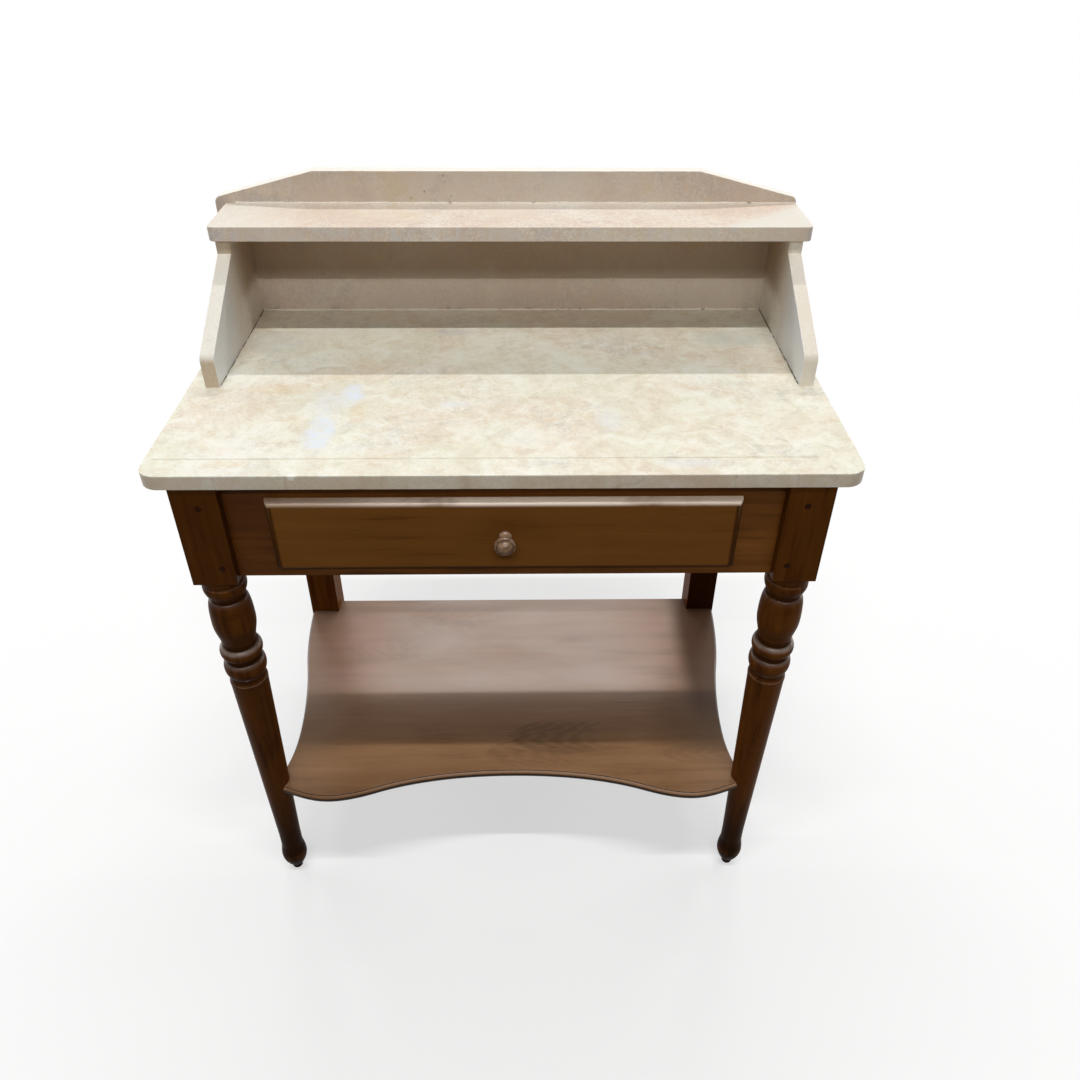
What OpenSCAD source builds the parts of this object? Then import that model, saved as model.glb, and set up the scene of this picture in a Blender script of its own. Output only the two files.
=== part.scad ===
// Washstand with a marble top: a marble slab with a small marble gallery (two cheeks, an upper shelf
// and a clipped back panel) laid on a wooden table with turned front legs, square rear legs, one
// lipped drawer in the apron and a moulded lower shelf.
// Millimetres, +Z up, the front looks along -Y. The origin is on the floor, under the middle of the
// whole object's width and depth, the knob included.

/* [Marble top] */
// Width of the slab, and of the back panel that stands on it
slab_w = 850; // [760:5:1000]
// Depth of the slab, front edge to back edge
slab_d = 500; // [460:5:600]
// Thickness of the slab
slab_t = 19; // [16:0.5:30]
// Radius of the slab's two front corners
slab_corner_r = 24; // [8:1:50]
// Distance from the front edge to the scribed line
scribe_inset = 37; // [15:1:60]
// Width of the scribed line
scribe_w = 1.2; // [0.6:0.1:3]
// Depth of the scribed line
scribe_depth = 0.6; // [0.3:0.1:1.5]

/* [Marble gallery] */
// Thickness of the two cheeks
cheek_t = 19; // [15:0.5:28]
// Height of the cheeks, slab to upper shelf
cheek_h = 144; // [110:1:220]
// Distance from the slab's side edge to the cheek's outer face
cheek_inset = 17; // [8:1:40]
// How far the pair of cheeks is bedded to the right of the centre line
cheek_shift = 6; // [-8:1:8]
// Distance from the slab's front edge to the cheek's nose
cheek_setback = 219; // [160:1:260]
// Height of the upright nose at the front of a cheek
cheek_nose_h = 42; // [20:1:60]
// Radius where the nose turns into the slope
cheek_nose_r = 14; // [3:1:22]
// Height of the short upright at the top of the slope
cheek_step_h = 18; // [8:1:30]
// How far the upper shelf stands in front of the cheeks' top
upper_overhang = 4; // [0:1:12]
// Depth of the upper shelf
upper_d = 109; // [90:1:150]
// Thickness of the upper shelf
upper_t = 20; // [15:0.5:28]
// Distance from the slab's side edge to the end of the upper shelf, before its shift
upper_inset = 7.5; // [7.5:0.5:14]
// How far the upper shelf is bedded to the right of the centre line
upper_shift = 7.5; // [-7.5:0.5:7.5]
// Radius of the upper shelf's two front corners
upper_corner_r = 9; // [3:1:20]
// Thickness of the back panel
back_t = 20; // [15:0.5:28]
// Height of the back panel above the slab
back_h = 209; // [200:1:300]
// Width of the sloping corner of the back panel
back_clip_w = 146; // [60:1:220]
// Height of the sloping corner of the back panel
back_clip_h = 37; // [15:1:60]
// Radius where the slope of the back panel turns into its end
back_clip_r = 10; // [3:1:14]
// Radius of the iron pins that hold the marble pieces together
pin_r = 3; // [2:0.5:4]
// Depth of a pin in each of the two pieces that it joins
pin_depth = 12; // [8:1:14]
// Distance from a cheek's nose or the back panel to the nearest pin
pin_inset = 30; // [15:1:45]

/* [Frame] */
// Height of the wooden frame, floor to underside of the slab
frame_h = 779; // [700:1:850]
// How far the slab stands out over the front legs at the sides
side_overhang = 33; // [15:1:45]
// How far the slab stands out over the front legs at the front
front_overhang = 2; // [0:1:30]
// How far the slab stands out behind the rear legs
rear_overhang = 25; // [5:1:50]
// Height of the apron
apron_h = 140; // [130:1:165]
// Thickness of the front apron
front_apron_t = 22; // [18:1:26]
// Thickness of the side and rear aprons
apron_t = 20; // [16:1:22]
// How far the aprons are set back behind the legs' outer faces
apron_recess = 14; // [4:1:16]
// How far the rear leg stands in from the front leg's outer face
rear_leg_inset = 12; // [4:1:13]
// How far the rear apron is set in from the rear legs' back faces
rear_apron_recess = 5; // [2:1:10]
// Thickness of the tenons
tenon_t = 10; // [6:1:11]
// Distance from the apron's top and bottom edges to its tenons
tenon_shoulder = 9; // [4:1:14]
// Length of the front apron's tenons
front_tenon_l = 33; // [24:1:35]
// Length of the side aprons' tenons
side_tenon_l = 23; // [15:1:24]
// Length of the rear apron's tenons
rear_tenon_l = 22; // [15:1:24]
// Gap left round a tenon and a peg
glue_gap = 0.15; // [0.05:0.05:0.3]
// Radius of the oak pegs
peg_r = 4; // [2.5:0.5:5]
// Distance from the apron's top edge to the upper pegs
peg_top_drop = 28; // [18:1:29]
// Distance from the apron's bottom edge to the lower pegs
peg_bottom_rise = 22; // [16:1:24]
// Length of the pegs
peg_l = 30; // [22:1:31]

/* [Front legs] */
// Side of the square block at the top of a front leg
block_side = 56; // [50:1:64]
// Length of the square block
block_l = 144; // [140:1:180]
// Largest radius of the collar under the block
collar_r = 28.4; // [25:0.1:28.5]
// Length of the collar, with the rounding over it
collar_l = 35; // [28:1:46]
// Radius of the grooves between the turned members
groove_r = 22.5; // [18:0.5:24]
// Height of a groove
groove_h = 4; // [2:0.5:8]
// Largest radius of the vase
vase_r = 28.5; // [24.5:0.1:32]
// Length of the vase
vase_l = 78.5; // [50:0.5:90]
// Largest radius of the two heavy rings
ring_r = 28.6; // [24.5:0.1:32]
// Height of the upper heavy ring
upper_ring_h = 20; // [14:0.5:30]
// Height of the groove between the two heavy rings
ring_groove_h = 7; // [3:0.5:12]
// Height of the lower heavy ring
lower_ring_h = 25.5; // [16:0.5:34]
// Height of the cove under the lower ring
cove_h = 12; // [6:1:18]
// Radius of the thin bead at the top of the shaft
bead_r = 26.1; // [25.8:0.1:29]
// Height of the thin bead
bead_h = 7; // [4:0.5:10]
// Radius of the shaft at its top
shaft_top_r = 25.6; // [22:0.1:25.6]
// Radius of the ankle, where the shaft meets the foot
ankle_r = 16.9; // [13:0.1:19]
// Height of the ankle above the floor
ankle_h = 92; // [80:1:120]
// Length of the straight ankle
ankle_l = 28; // [10:1:34]
// Largest radius of the turned foot
foot_r = 19.9; // [18:0.1:24]
// Height of the foot's widest part above the floor
foot_mid_h = 38; // [30:1:44]
// Radius of the toe that meets the floor
toe_r = 8; // [6:0.5:12]
// Height of the toe
toe_h = 7; // [4:1:10]

/* [Rear legs] */
// Side of the square rear legs
rear_leg_side = 50; // [44:1:54]

/* [Drawer opening] */
// Width of the apron's face between the leg block and the drawer opening
stile_w = 59; // [44:1:80]
// Height of the rail over the drawer opening
top_rail_h = 34.5; // [32:0.5:38]
// Height of the rail under the drawer opening
bottom_rail_h = 30; // [30:0.5:36]
// Length of the tongues that join the upright pieces to the rails
tongue_l = 8; // [5:1:10]
// Distance from an upright piece's side to its tongue
tongue_inset = 10; // [6:1:14]
// Width of the runners and kickers
runner_w = 40; // [30:1:50]
// Height of the runners and kickers
runner_h = 18; // [12:1:20]
// Width of the guides beside the drawer
guide_w = 15; // [10:1:20]
// Height of the guides
guide_h = 20; // [12:1:30]
// Length of the stub tenons of the runners and kickers
stub_l = 8; // [5:1:10]
// Height of the stub tenons
stub_h = 8; // [5:1:10]

/* [Drawer] */
// How far the drawer front's lip covers the apron at the sides
lip_side = 8; // [4:0.5:14]
// How far the lip covers the apron at the top
lip_top = 14.5; // [6:0.5:18]
// How far the lip covers the apron at the bottom
lip_bottom = 12.5; // [6:0.5:16]
// How far the drawer front stands out of the apron
lip_t = 12.5; // [10:0.5:16]
// Width of the moulded edge round the drawer front
ovolo_w = 7; // [4:0.5:9]
// Depth of the moulded edge
ovolo_d = 9; // [5:0.5:9.5]
// Thickness of the drawer front inside the opening
front_inner_t = 12; // [10:0.5:16]
// Gap between the drawer's back and the rear apron
drawer_rear_gap = 26; // [10:1:80]
// Thickness of the drawer sides and back
drawer_side_t = 12; // [9:0.5:15]
// Gap between the drawer and the opening at each side
side_play = 1; // [0.4:0.1:2]
// Gap between the drawer and the kickers
top_play = 1.5; // [0.5:0.1:3]
// Gap between the drawer sides and the runners, and between the lip and the apron
running_gap = 0.3; // [0.2:0.1:0.6]
// Thickness of the drawer bottom
bottom_t = 6; // [4:0.5:8]
// Height of the drawer bottom above the lower edge of the sides
bottom_rise = 8; // [6:0.5:12]
// Depth of the groove that holds the drawer bottom
bottom_groove = 6; // [4:0.5:7]
// Drop of the drawer back's top edge below the sides
back_drop = 3; // [0:1:6]
// Number of dovetails at each corner
tail_count = 3; // [2:1:4]
// Width of a dovetail at its narrow end
tail_w = 10; // [7:1:11]
// How much wider a dovetail is at its end, at each side
tail_flare = 2; // [1:0.5:2.5]
// Depth of the half-blind dovetails in the drawer front
tail_depth = 9; // [7:0.5:9]
// Radius of the nails in the drawer bottom
nail_r = 0.9; // [0.6:0.1:1.5]
// Length of the nails
nail_l = 26; // [18:1:34]
// Number of nails
nail_count = 3; // [2:1:5]

/* [Knob] */
// Radius of the collar that meets the drawer front
knob_collar_r = 8.5; // [7:0.5:11]
// Radius of the knob's neck
knob_neck_r = 6.2; // [4.5:0.1:6.5]
// Radius of the knob's head
knob_head_r = 13.3; // [10:0.1:18]
// How far the knob stands out
knob_reach = 30.5; // [26:0.5:40]
// Radius of the knob's spigot
spigot_r = 4.5; // [3:0.5:5]

/* [Lower shelf] */
// Height of the lower shelf's top above the floor
shelf_h = 221; // [170:1:300]
// Thickness of the lower shelf
shelf_t = 15; // [12:0.5:20]
// Distance from the rear legs' front faces to the shelf's rear edge
shelf_rear = 29; // [10:1:45]
// Depth of the hollow in each side, at its waist
shelf_waist = 33; // [15:1:45]
// Distance from the front legs' middle back to the waist
shelf_waist_back = 97; // [60:1:150]
// Distance from the front legs' middle back to where each side turns outwards
shelf_turn_back = 249; // [200:1:300]
// Depth of the hollow in the front edge, from the front of the lobes to the middle
shelf_bow = 46; // [20:1:60]
// How far the two lobes stand out in front of the legs' front surfaces
shelf_lobe = 15; // [6:1:20]
// Distance from a front leg's middle in to the front of the lobe
shelf_lobe_in = 84; // [60:1:110]
// Distance from a front leg's middle in to where the lobe turns into the hollow
shelf_swing_in = 160; // [130:1:200]
// Width of the step between the flat top and the moulded edge
shelf_quirk_w = 3.5; // [2:0.5:6]
// Depth of that step
shelf_quirk_d = 1.5; // [0.8:0.1:2.5]
// Radius of the dowels that hold the shelf
dowel_r = 4; // [2.5:0.5:5]
// Depth of a dowel in each of the two pieces that it joins
dowel_depth = 18; // [12:1:24]
// Gap between the shelf and the legs
shelf_gap = 0.3; // [0.2:0.1:0.6]

/* [Hidden] */
$fn = 72;
CUT = 1;
MARBLE = [0.86, 0.81, 0.71];
WOOD = [0.33, 0.2, 0.1];
SHELF_WOOD = [0.45, 0.33, 0.25];
RAW_WOOD = [0.62, 0.47, 0.3];
IRON = [0.35, 0.33, 0.32];

// Y places, front to back
front_y = -(slab_d + knob_stand()) / 2 + knob_stand();
back_y = front_y + slab_d;
block_y = front_y + front_overhang;
front_apron_y = block_y + apron_recess;
rear_leg_back_y = back_y - rear_overhang;
rear_leg_y = rear_leg_back_y - rear_leg_side;
rear_apron_y = rear_leg_back_y - rear_apron_recess - apron_t;
panel_y = back_y - back_t;
upper_y = panel_y - upper_d;
cheek_top_y = upper_y + upper_overhang;
leg_y = block_y + block_side / 2;

// X places, as distances from the middle
block_out_x = slab_w / 2 - side_overhang;
block_in_x = block_out_x - block_side;
leg_x = block_out_x - block_side / 2;
rear_leg_out_x = block_out_x - rear_leg_inset;
rear_leg_in_x = rear_leg_out_x - rear_leg_side;
side_apron_x = block_out_x - apron_recess - apron_t;
opening_x = block_in_x - stile_w;
bar_x = opening_x + guide_w - runner_w;
cheek_x = slab_w / 2 - cheek_inset - cheek_t;

// Z places, floor up
slab_z = frame_h + slab_t;
upper_z = slab_z + cheek_h;
apron_z = frame_h - apron_h;
block_z = frame_h - block_l;
opening_top_z = frame_h - top_rail_h;
opening_z = apron_z + bottom_rail_h;
shelf_z = shelf_h - shelf_t;

// Drawer
drawer_x = opening_x - side_play;
drawer_z = opening_z + running_gap;
drawer_top_z = opening_top_z - top_play;
face_y = front_apron_y - lip_t;
lip_back_y = front_apron_y - running_gap;
inner_back_y = lip_back_y + front_inner_t;
drawer_back_y = rear_apron_y - drawer_rear_gap;
bottom_z = drawer_z + bottom_rise;
knob_z = (opening_z - lip_bottom + opening_top_z + lip_top) / 2;

// Pegs: height of the upper and lower ones, and places across the joints
peg_zs = [apron_z + peg_bottom_rise, frame_h - peg_top_drop];
peg_xs = [block_in_x + front_tenon_l * 0.45, block_in_x + front_tenon_l * 0.76];

// How far the knob stands out in front of the slab
function knob_stand() = knob_reach + lip_t - apron_recess - front_overhang;

// ---------- Curves and outlines ----------

function unit(v) = v / norm(v);

// Points of a cubic curve from a to d
function bezier(a, b, c, d, n) = [
  for (i = [0:n]) let (t = i / n, s = 1 - t)
    s * s * s * a + 3 * s * s * t * b + 3 * s * t * t * c + t * t * t * d
];

// Points of the arc of radius r that rounds corner p between neighbours a and b
function corner(a, p, b, r, n = 8) =
  let (
    u = unit(a - p), v = unit(b - p), half = acos(u * v) / 2,
    c = p + unit(u + v) * r / sin(half),
    s = p + u * r / tan(half) - c, e = p + v * r / tan(half) - c,
    from = atan2(s.y, s.x), turn = atan2(e.y, e.x) - from,
    sweep = turn > 180 ? turn - 360 : turn < -180 ? turn + 360 : turn
  )
  [for (i = [0:n]) c + r * [cos(from + sweep * i / n), sin(from + sweep * i / n)]];

// A polygon's points with corner i rounded by radii[i]
function rounded(pts, radii) = [
  for (i = [0:len(pts) - 1])
    each radii[i] == 0 ? [pts[i]]
      : corner(pts[(i + len(pts) - 1) % len(pts)], pts[i], pts[(i + 1) % len(pts)], radii[i])
];

// An open line of points moved sideways by d, to the left of its direction
function moved(pts, d) = [
  for (i = [0:len(pts) - 1])
    let (along = unit(pts[min(i + 1, len(pts) - 1)] - pts[max(i - 1, 0)]))
      pts[i] + d * [-along.y, along.x]
];

function flipped(pts) = [for (i = [len(pts) - 1:-1:0]) [-pts[i].x, pts[i].y]];

function without_last(pts) = [for (i = [0:len(pts) - 2]) pts[i]];

// Half-round member of a turning, from z_top down, as [radius, z] points
function ring(z_top, h, r_in, r_out, n = 10) = [
  for (i = [0:n]) let (a = 180 * i / n)
    [r_in + (r_out - r_in) * sin(a), z_top - h / 2 * (1 - cos(a))]
];

// ---------- Common shapes ----------

module box(low, high) {
  translate(low) cube(high - low);
}

// The child and its mirror image in the YZ plane
module both_sides() {
  children();
  mirror([1, 0, 0]) children();
}

// An outline of [y, z] points extruded from x_low to x_high
module side_profile(pts, x_low, x_high) {
  translate([x_low, 0, 0]) rotate([90, 0, 90]) linear_extrude(x_high - x_low) polygon(pts);
}

// ---------- Marble ----------

function front_rounded(x_low, x_high, y_low, y_high, r) = rounded(
  [[x_low, y_low], [x_high, y_low], [x_high, y_high], [x_low, y_high]], [r, r, 0, 0]);

// Pins stand upright at [x, y, joint height]; grow widens and lengthens them into their holes
module pin_set(grow = 0) {
  cheek_mid = cheek_x + cheek_t / 2;
  front_pin_y = front_y + cheek_setback + pin_inset;
  rear_pin_y = panel_y - pin_inset;
  for (side = [-1, 1]) {
    for (y = [front_pin_y, rear_pin_y]) pin([cheek_shift + side * cheek_mid, y, slab_z], grow);
    pin([cheek_shift + side * cheek_mid, rear_pin_y, upper_z], grow);
  }
  for (x = [-slab_w / 3, 0, slab_w / 3]) pin([x, panel_y + back_t / 2, slab_z], grow);
}

module pin(joint, grow) {
  depth = pin_depth + grow;
  translate(joint - [0, 0, depth]) cylinder(r = pin_r + grow, h = 2 * depth);
}

module marble_pins() {
  color(IRON) pin_set();
}

module marble_slab() {
  color(MARBLE) difference() {
    translate([0, 0, frame_h]) linear_extrude(slab_t)
      polygon(front_rounded(-slab_w / 2, slab_w / 2, front_y, back_y, slab_corner_r));
    box(
      [-slab_w / 2 - CUT, front_y + scribe_inset, slab_z - scribe_depth],
      [slab_w / 2 + CUT, front_y + scribe_inset + scribe_w, slab_z + CUT]);
    pin_set(glue_gap);
  }
}

module back_panel() {
  half = slab_w / 2;
  end_h = back_h - back_clip_h;
  outline = rounded(
    [[-half, 0], [half, 0], [half, end_h], [half - back_clip_w, back_h],
      [-half + back_clip_w, back_h], [-half, end_h]],
    [0, 0, back_clip_r, 0, 0, back_clip_r]);
  color(MARBLE) difference() {
    translate([0, back_y, slab_z]) rotate([90, 0, 0]) linear_extrude(back_t) polygon(outline);
    pin_set(glue_gap);
  }
}

module cheek(side) {
  nose_y = front_y + cheek_setback;
  outline = rounded(
    [[nose_y, slab_z], [panel_y, slab_z], [panel_y, upper_z], [cheek_top_y, upper_z],
      [cheek_top_y, upper_z - cheek_step_h], [nose_y, slab_z + cheek_nose_h]],
    [0, 0, 0, 0, 0, cheek_nose_r]);
  inner = cheek_shift + side * cheek_x;
  outer = inner + side * cheek_t;
  color(MARBLE) difference() {
    side_profile(outline, min(inner, outer), max(inner, outer));
    pin_set(glue_gap);
  }
}

module cheek_left() { cheek(-1); }
module cheek_right() { cheek(1); }

module upper_shelf() {
  half = slab_w / 2 - upper_inset;
  color(MARBLE) difference() {
    translate([0, 0, upper_z]) linear_extrude(upper_t) polygon(
      front_rounded(upper_shift - half, upper_shift + half, upper_y, panel_y, upper_corner_r));
    pin_set(glue_gap);
  }
}

// ---------- Frame ----------

// Tenons of one corner on the right; grow widens them into their mortises
module front_tenon(z_low, z_high, grow = 0) {
  y = front_apron_y + (front_apron_t - tenon_t) / 2;
  box(
    [block_in_x - CUT, y - grow, z_low - grow],
    [block_in_x + front_tenon_l + grow, y + tenon_t + grow, z_high + grow]);
}

module top_rail_tenon(grow = 0) {
  front_tenon(opening_top_z, frame_h - tenon_shoulder, grow);
}

module bottom_rail_tenon(grow = 0) {
  front_tenon(apron_z + tenon_shoulder, opening_z, grow);
}

// Tongues at the top and the foot of the upright piece beside the opening
module tongues(grow = 0) {
  y = front_apron_y + (front_apron_t - tenon_t) / 2;
  box(
    [opening_x + tongue_inset - grow, y - grow, opening_z - tongue_l - grow],
    [block_in_x - tongue_inset + grow, y + tenon_t + grow, opening_top_z + tongue_l + grow]);
}

module side_tenon(from_y, to_y, grow = 0) {
  x = side_apron_x + (apron_t - tenon_t) / 2;
  box(
    [x - grow, from_y - grow, apron_z + tenon_shoulder - grow],
    [x + tenon_t + grow, to_y + grow, frame_h - tenon_shoulder + grow]);
}

module side_tenons(grow = 0) {
  block_back_y = block_y + block_side;
  side_tenon(block_back_y - side_tenon_l, block_back_y + CUT, grow);
  side_tenon(rear_leg_y - CUT, rear_leg_y + side_tenon_l, grow);
}

module rear_tenon(grow = 0) {
  y = rear_apron_y + (apron_t - tenon_t) / 2;
  box(
    [rear_leg_in_x - CUT, y - grow, apron_z + tenon_shoulder - grow],
    [rear_leg_in_x + rear_tenon_l + grow, y + tenon_t + grow, frame_h - tenon_shoulder + grow]);
}

// The pegs of the right-hand corners, each driven in flush from an outer face
module corner_pegs(grow = 0) {
  length = peg_l + grow;
  radius = peg_r + grow;
  side_peg_ys = [block_y + block_side - side_tenon_l / 2, rear_leg_y + side_tenon_l / 2];
  for (i = [0, 1]) {
    translate([peg_xs[i], block_y, peg_zs[i]]) rotate([-90, 0, 0]) cylinder(r = radius, h = length);
    translate([block_out_x, side_peg_ys[0], peg_zs[i]]) rotate([0, -90, 0])
      cylinder(r = radius, h = length);
    translate([rear_leg_out_x, side_peg_ys[1], peg_zs[i]]) rotate([0, -90, 0])
      cylinder(r = radius, h = rear_leg_side / 2 + grow);
    translate([rear_leg_in_x + rear_tenon_l / 2, rear_leg_back_y, peg_zs[i]]) rotate([90, 0, 0])
      cylinder(r = radius, h = rear_leg_side / 2 + grow);
  }
}

module apron_pegs() {
  color(RAW_WOOD) both_sides() corner_pegs();
}

// Heights of the turned members' tops, from the collar down to the shaft
collar_end_z = block_z - collar_l;
vase_z = collar_end_z - groove_h;
vase_end_z = vase_z - vase_l;
ring_z = vase_end_z - groove_h;
low_ring_z = ring_z - upper_ring_h - ring_groove_h;
cove_z = low_ring_z - lower_ring_h;
bead_z = cove_z - cove_h;
shaft_z = bead_z - bead_h;

// The turning of a front leg as [radius, z] points, from inside the block down to the floor
function turning() =
  let (
    round_z = block_z - collar_l * 0.3,
    sunk = collar_r - groove_r,
    swell = vase_r - groove_r,
    cove_r = groove_r + (shaft_top_r - groove_r) * 0.5,
    bead_in_r = shaft_top_r - (bead_r - shaft_top_r) * 0.33,
    belly = [vase_r, vase_z - vase_l * 0.5],
    ball = [foot_r, foot_mid_h],
    over = ankle_h - ankle_l - foot_mid_h,
    under = foot_mid_h - toe_h
  )
  concat(
    [[0, block_z + CUT], [collar_r - sunk * 0.17, block_z + CUT]],
    [[collar_r - sunk * 0.17, round_z + collar_l * 0.06]],
    [[groove_r + sunk * 0.68, round_z + collar_l * 0.03]],
    [[groove_r + sunk * 0.68, round_z - collar_l * 0.03]],
    bezier(
      [collar_r - sunk * 0.1, round_z - collar_l * 0.09],
      [collar_r + sunk * 0.03, round_z - collar_l * 0.23],
      [collar_r + sunk * 0.07, collar_end_z + collar_l * 0.29], [groove_r, collar_end_z], 8),
    bezier(
      [groove_r, vase_z], [groove_r + swell * 0.67, vase_z - vase_l * 0.014],
      belly + [0, vase_l * 0.3], belly, 8),
    bezier(
      belly, belly - [0, vase_l * 0.22],
      [groove_r + swell * 0.17, vase_end_z + vase_l * 0.2], [groove_r, vase_end_z], 8),
    ring(ring_z, upper_ring_h, groove_r, ring_r),
    ring(low_ring_z, lower_ring_h, groove_r + (ring_r - groove_r) * 0.16, ring_r),
    bezier(
      [groove_r + (shaft_top_r - groove_r) * 0.8, cove_z], [cove_r, cove_z - cove_h * 0.4],
      [cove_r, cove_z - cove_h * 0.6], [bead_in_r, bead_z], 5),
    ring(bead_z, bead_h, bead_in_r, bead_r, 6),
    [[shaft_top_r, shaft_z], [ankle_r, ankle_h]],
    bezier(
      [ankle_r, ankle_h - ankle_l], [ankle_r + (foot_r - ankle_r) * 0.44, foot_mid_h + over * 0.62],
      ball + [0, over * 0.31], ball, 7),
    bezier(
      ball, ball - [0, under * 0.39],
      [toe_r + (foot_r - toe_r) * 0.4, toe_h + under * 0.23], [toe_r * 1.1, toe_h], 8),
    [[toe_r, toe_h * 0.86], [toe_r, 0], [0, 0]]
  );

// Front leg on the right: square block with its mortises, and the turning under it
module front_leg() {
  difference() {
    union() {
      box(
        [block_in_x, block_y, block_z],
        [block_out_x, block_y + block_side, frame_h]);
      translate([leg_x, leg_y, 0]) rotate_extrude() polygon(turning());
    }
    top_rail_tenon(glue_gap);
    bottom_rail_tenon(glue_gap);
    side_tenons(glue_gap);
    corner_pegs(glue_gap);
    front_dowel(glue_gap);
  }
}

module leg_front_right() { color(WOOD) front_leg(); }
module leg_front_left() { color(WOOD) mirror([1, 0, 0]) front_leg(); }

module rear_leg() {
  difference() {
    box([rear_leg_in_x, rear_leg_y, 0], [rear_leg_out_x, rear_leg_back_y, frame_h]);
    side_tenons(glue_gap);
    rear_tenon(glue_gap);
    corner_pegs(glue_gap);
    rear_dowel(glue_gap);
  }
}

module leg_rear_right() { color(WOOD) rear_leg(); }
module leg_rear_left() { color(WOOD) mirror([1, 0, 0]) rear_leg(); }

// Stub tenons at both ends of a runner or kicker whose underside is at z
module stubs(z, grow = 0) {
  low = z + (runner_h - stub_h) / 2;
  for (y = [front_apron_y + front_apron_t - stub_l, rear_apron_y - CUT])
    box(
      [bar_x + runner_w / 4 - grow, y - grow, low - grow],
      [bar_x + runner_w * 3 / 4 + grow, y + stub_l + CUT + grow, low + stub_h + grow]);
}

module all_stubs(grow) {
  stubs(opening_z - runner_h, grow);
  stubs(opening_top_z, grow);
}

// A rail across the front; the children are its tenon on the right
module front_rail(z_low, z_high) {
  difference() {
    union() {
      box(
        [-block_in_x, front_apron_y, z_low],
        [block_in_x, front_apron_y + front_apron_t, z_high]);
      both_sides() children();
    }
    both_sides() {
      corner_pegs(glue_gap);
      all_stubs(glue_gap);
      tongues(glue_gap);
    }
  }
}

module front_rail_top() {
  color(WOOD) front_rail(opening_top_z, frame_h) top_rail_tenon();
}

module front_rail_bottom() {
  color(WOOD) front_rail(apron_z, opening_z) bottom_rail_tenon();
}

module front_stile() {
  box(
    [opening_x, front_apron_y, opening_z],
    [block_in_x, front_apron_y + front_apron_t, opening_top_z]);
  tongues();
}

module front_stile_right() { color(WOOD) front_stile(); }
module front_stile_left() { color(WOOD) mirror([1, 0, 0]) front_stile(); }

module side_apron() {
  difference() {
    union() {
      box(
        [side_apron_x, block_y + block_side, apron_z],
        [side_apron_x + apron_t, rear_leg_y, frame_h]);
      side_tenons();
    }
    corner_pegs(glue_gap);
  }
}

module side_apron_right() { color(WOOD) side_apron(); }
module side_apron_left() { color(WOOD) mirror([1, 0, 0]) side_apron(); }

module rear_apron() {
  color(WOOD) difference() {
    union() {
      box(
        [-rear_leg_in_x, rear_apron_y, apron_z],
        [rear_leg_in_x, rear_apron_y + apron_t, frame_h]);
      both_sides() rear_tenon();
    }
    both_sides() corner_pegs(glue_gap);
    both_sides() all_stubs(glue_gap);
  }
}

// ---------- Drawer supports ----------

// A bar from the front apron to the rear apron, under or over the drawer's right side
module bar(z) {
  box(
    [bar_x, front_apron_y + front_apron_t, z],
    [bar_x + runner_w, rear_apron_y, z + runner_h]);
  stubs(z);
}

module guide() {
  box(
    [opening_x, front_apron_y + front_apron_t, opening_z],
    [opening_x + guide_w, rear_apron_y, opening_z + guide_h]);
}

module runner_right() { color(RAW_WOOD) bar(opening_z - runner_h); }
module runner_left() { color(RAW_WOOD) mirror([1, 0, 0]) bar(opening_z - runner_h); }
module kicker_right() { color(RAW_WOOD) bar(opening_top_z); }
module kicker_left() { color(RAW_WOOD) mirror([1, 0, 0]) bar(opening_top_z); }
module guide_right() { color(RAW_WOOD) guide(); }
module guide_left() { color(RAW_WOOD) mirror([1, 0, 0]) guide(); }

// ---------- Lower shelf ----------

// The shelf's moulded edge on the right, from the rear leg round the front to the middle
function shelf_half() =
  let (
    leg_r = shelf_leg_r(),
    leg = [leg_x - leg_r * 0.3, leg_y],
    rear = [rear_leg_out_x, rear_leg_y - shelf_gap],
    waist = [rear.x - shelf_waist, leg.y + shelf_waist_back],
    turn = [(rear.x + waist.x) / 2, leg.y + shelf_turn_back],
    lobe = [leg_x - shelf_lobe_in, leg.y - leg_r - shelf_lobe],
    swing = [leg_x - shelf_swing_in, lobe.y + shelf_bow * 0.36],
    bow = [0, lobe.y + shelf_bow],
    behind = rear.y - turn.y,
    hollow = turn.y - waist.y,
    front = waist.y - leg.y,
    side_slope = [shelf_waist, hollow] / 3,
    lobe_third = [(lobe.x - swing.x) / 3, 0],
    front_slope = [(swing.x - lobe.x) * 0.4, shelf_bow * 0.24]
  )
  concat(
    without_last(bezier(
      rear, rear - [shelf_waist * 0.06, behind * 0.3], turn + side_slope, turn, 7)),
    without_last(bezier(turn, turn - side_slope, waist + [0, hollow * 0.28], waist, 7)),
    bezier(
      waist, waist - [0, front * 0.36],
      leg + [-shelf_waist * 0.24, front * 0.46], leg + [0, leg_r * 0.7], 6),
    without_last(bezier(
      leg - [0, leg_r * 0.67], leg - [leg_r * 1.24, leg_r * 1.14],
      lobe + [(leg_x - lobe.x) / 3, 0], lobe, 6)),
    without_last(bezier(lobe, lobe - lobe_third, swing - front_slope * 0.8, swing, 6)),
    bezier(swing, swing + front_slope * 1.3, bow + [swing.x * 0.47, 0], bow, 8)
  );

// Radius of a front leg at the height of the shelf
function shelf_leg_r() =
  ankle_r + (shaft_top_r - ankle_r) * (shelf_h - ankle_h) / (shaft_z - ankle_h);

// The whole outline with its moulded edge drawn in by d
function shelf_outline(d) =
  let (half = moved(shelf_half(), -d), rear = rear_leg_y + shelf_rear)
  concat(
    [[rear_leg_in_x - shelf_gap, rear], [rear_leg_in_x - shelf_gap, rear_leg_y - shelf_gap]],
    half, without_first(flipped(half)),
    [[-rear_leg_in_x + shelf_gap, rear_leg_y - shelf_gap], [-rear_leg_in_x + shelf_gap, rear]]);

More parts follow.
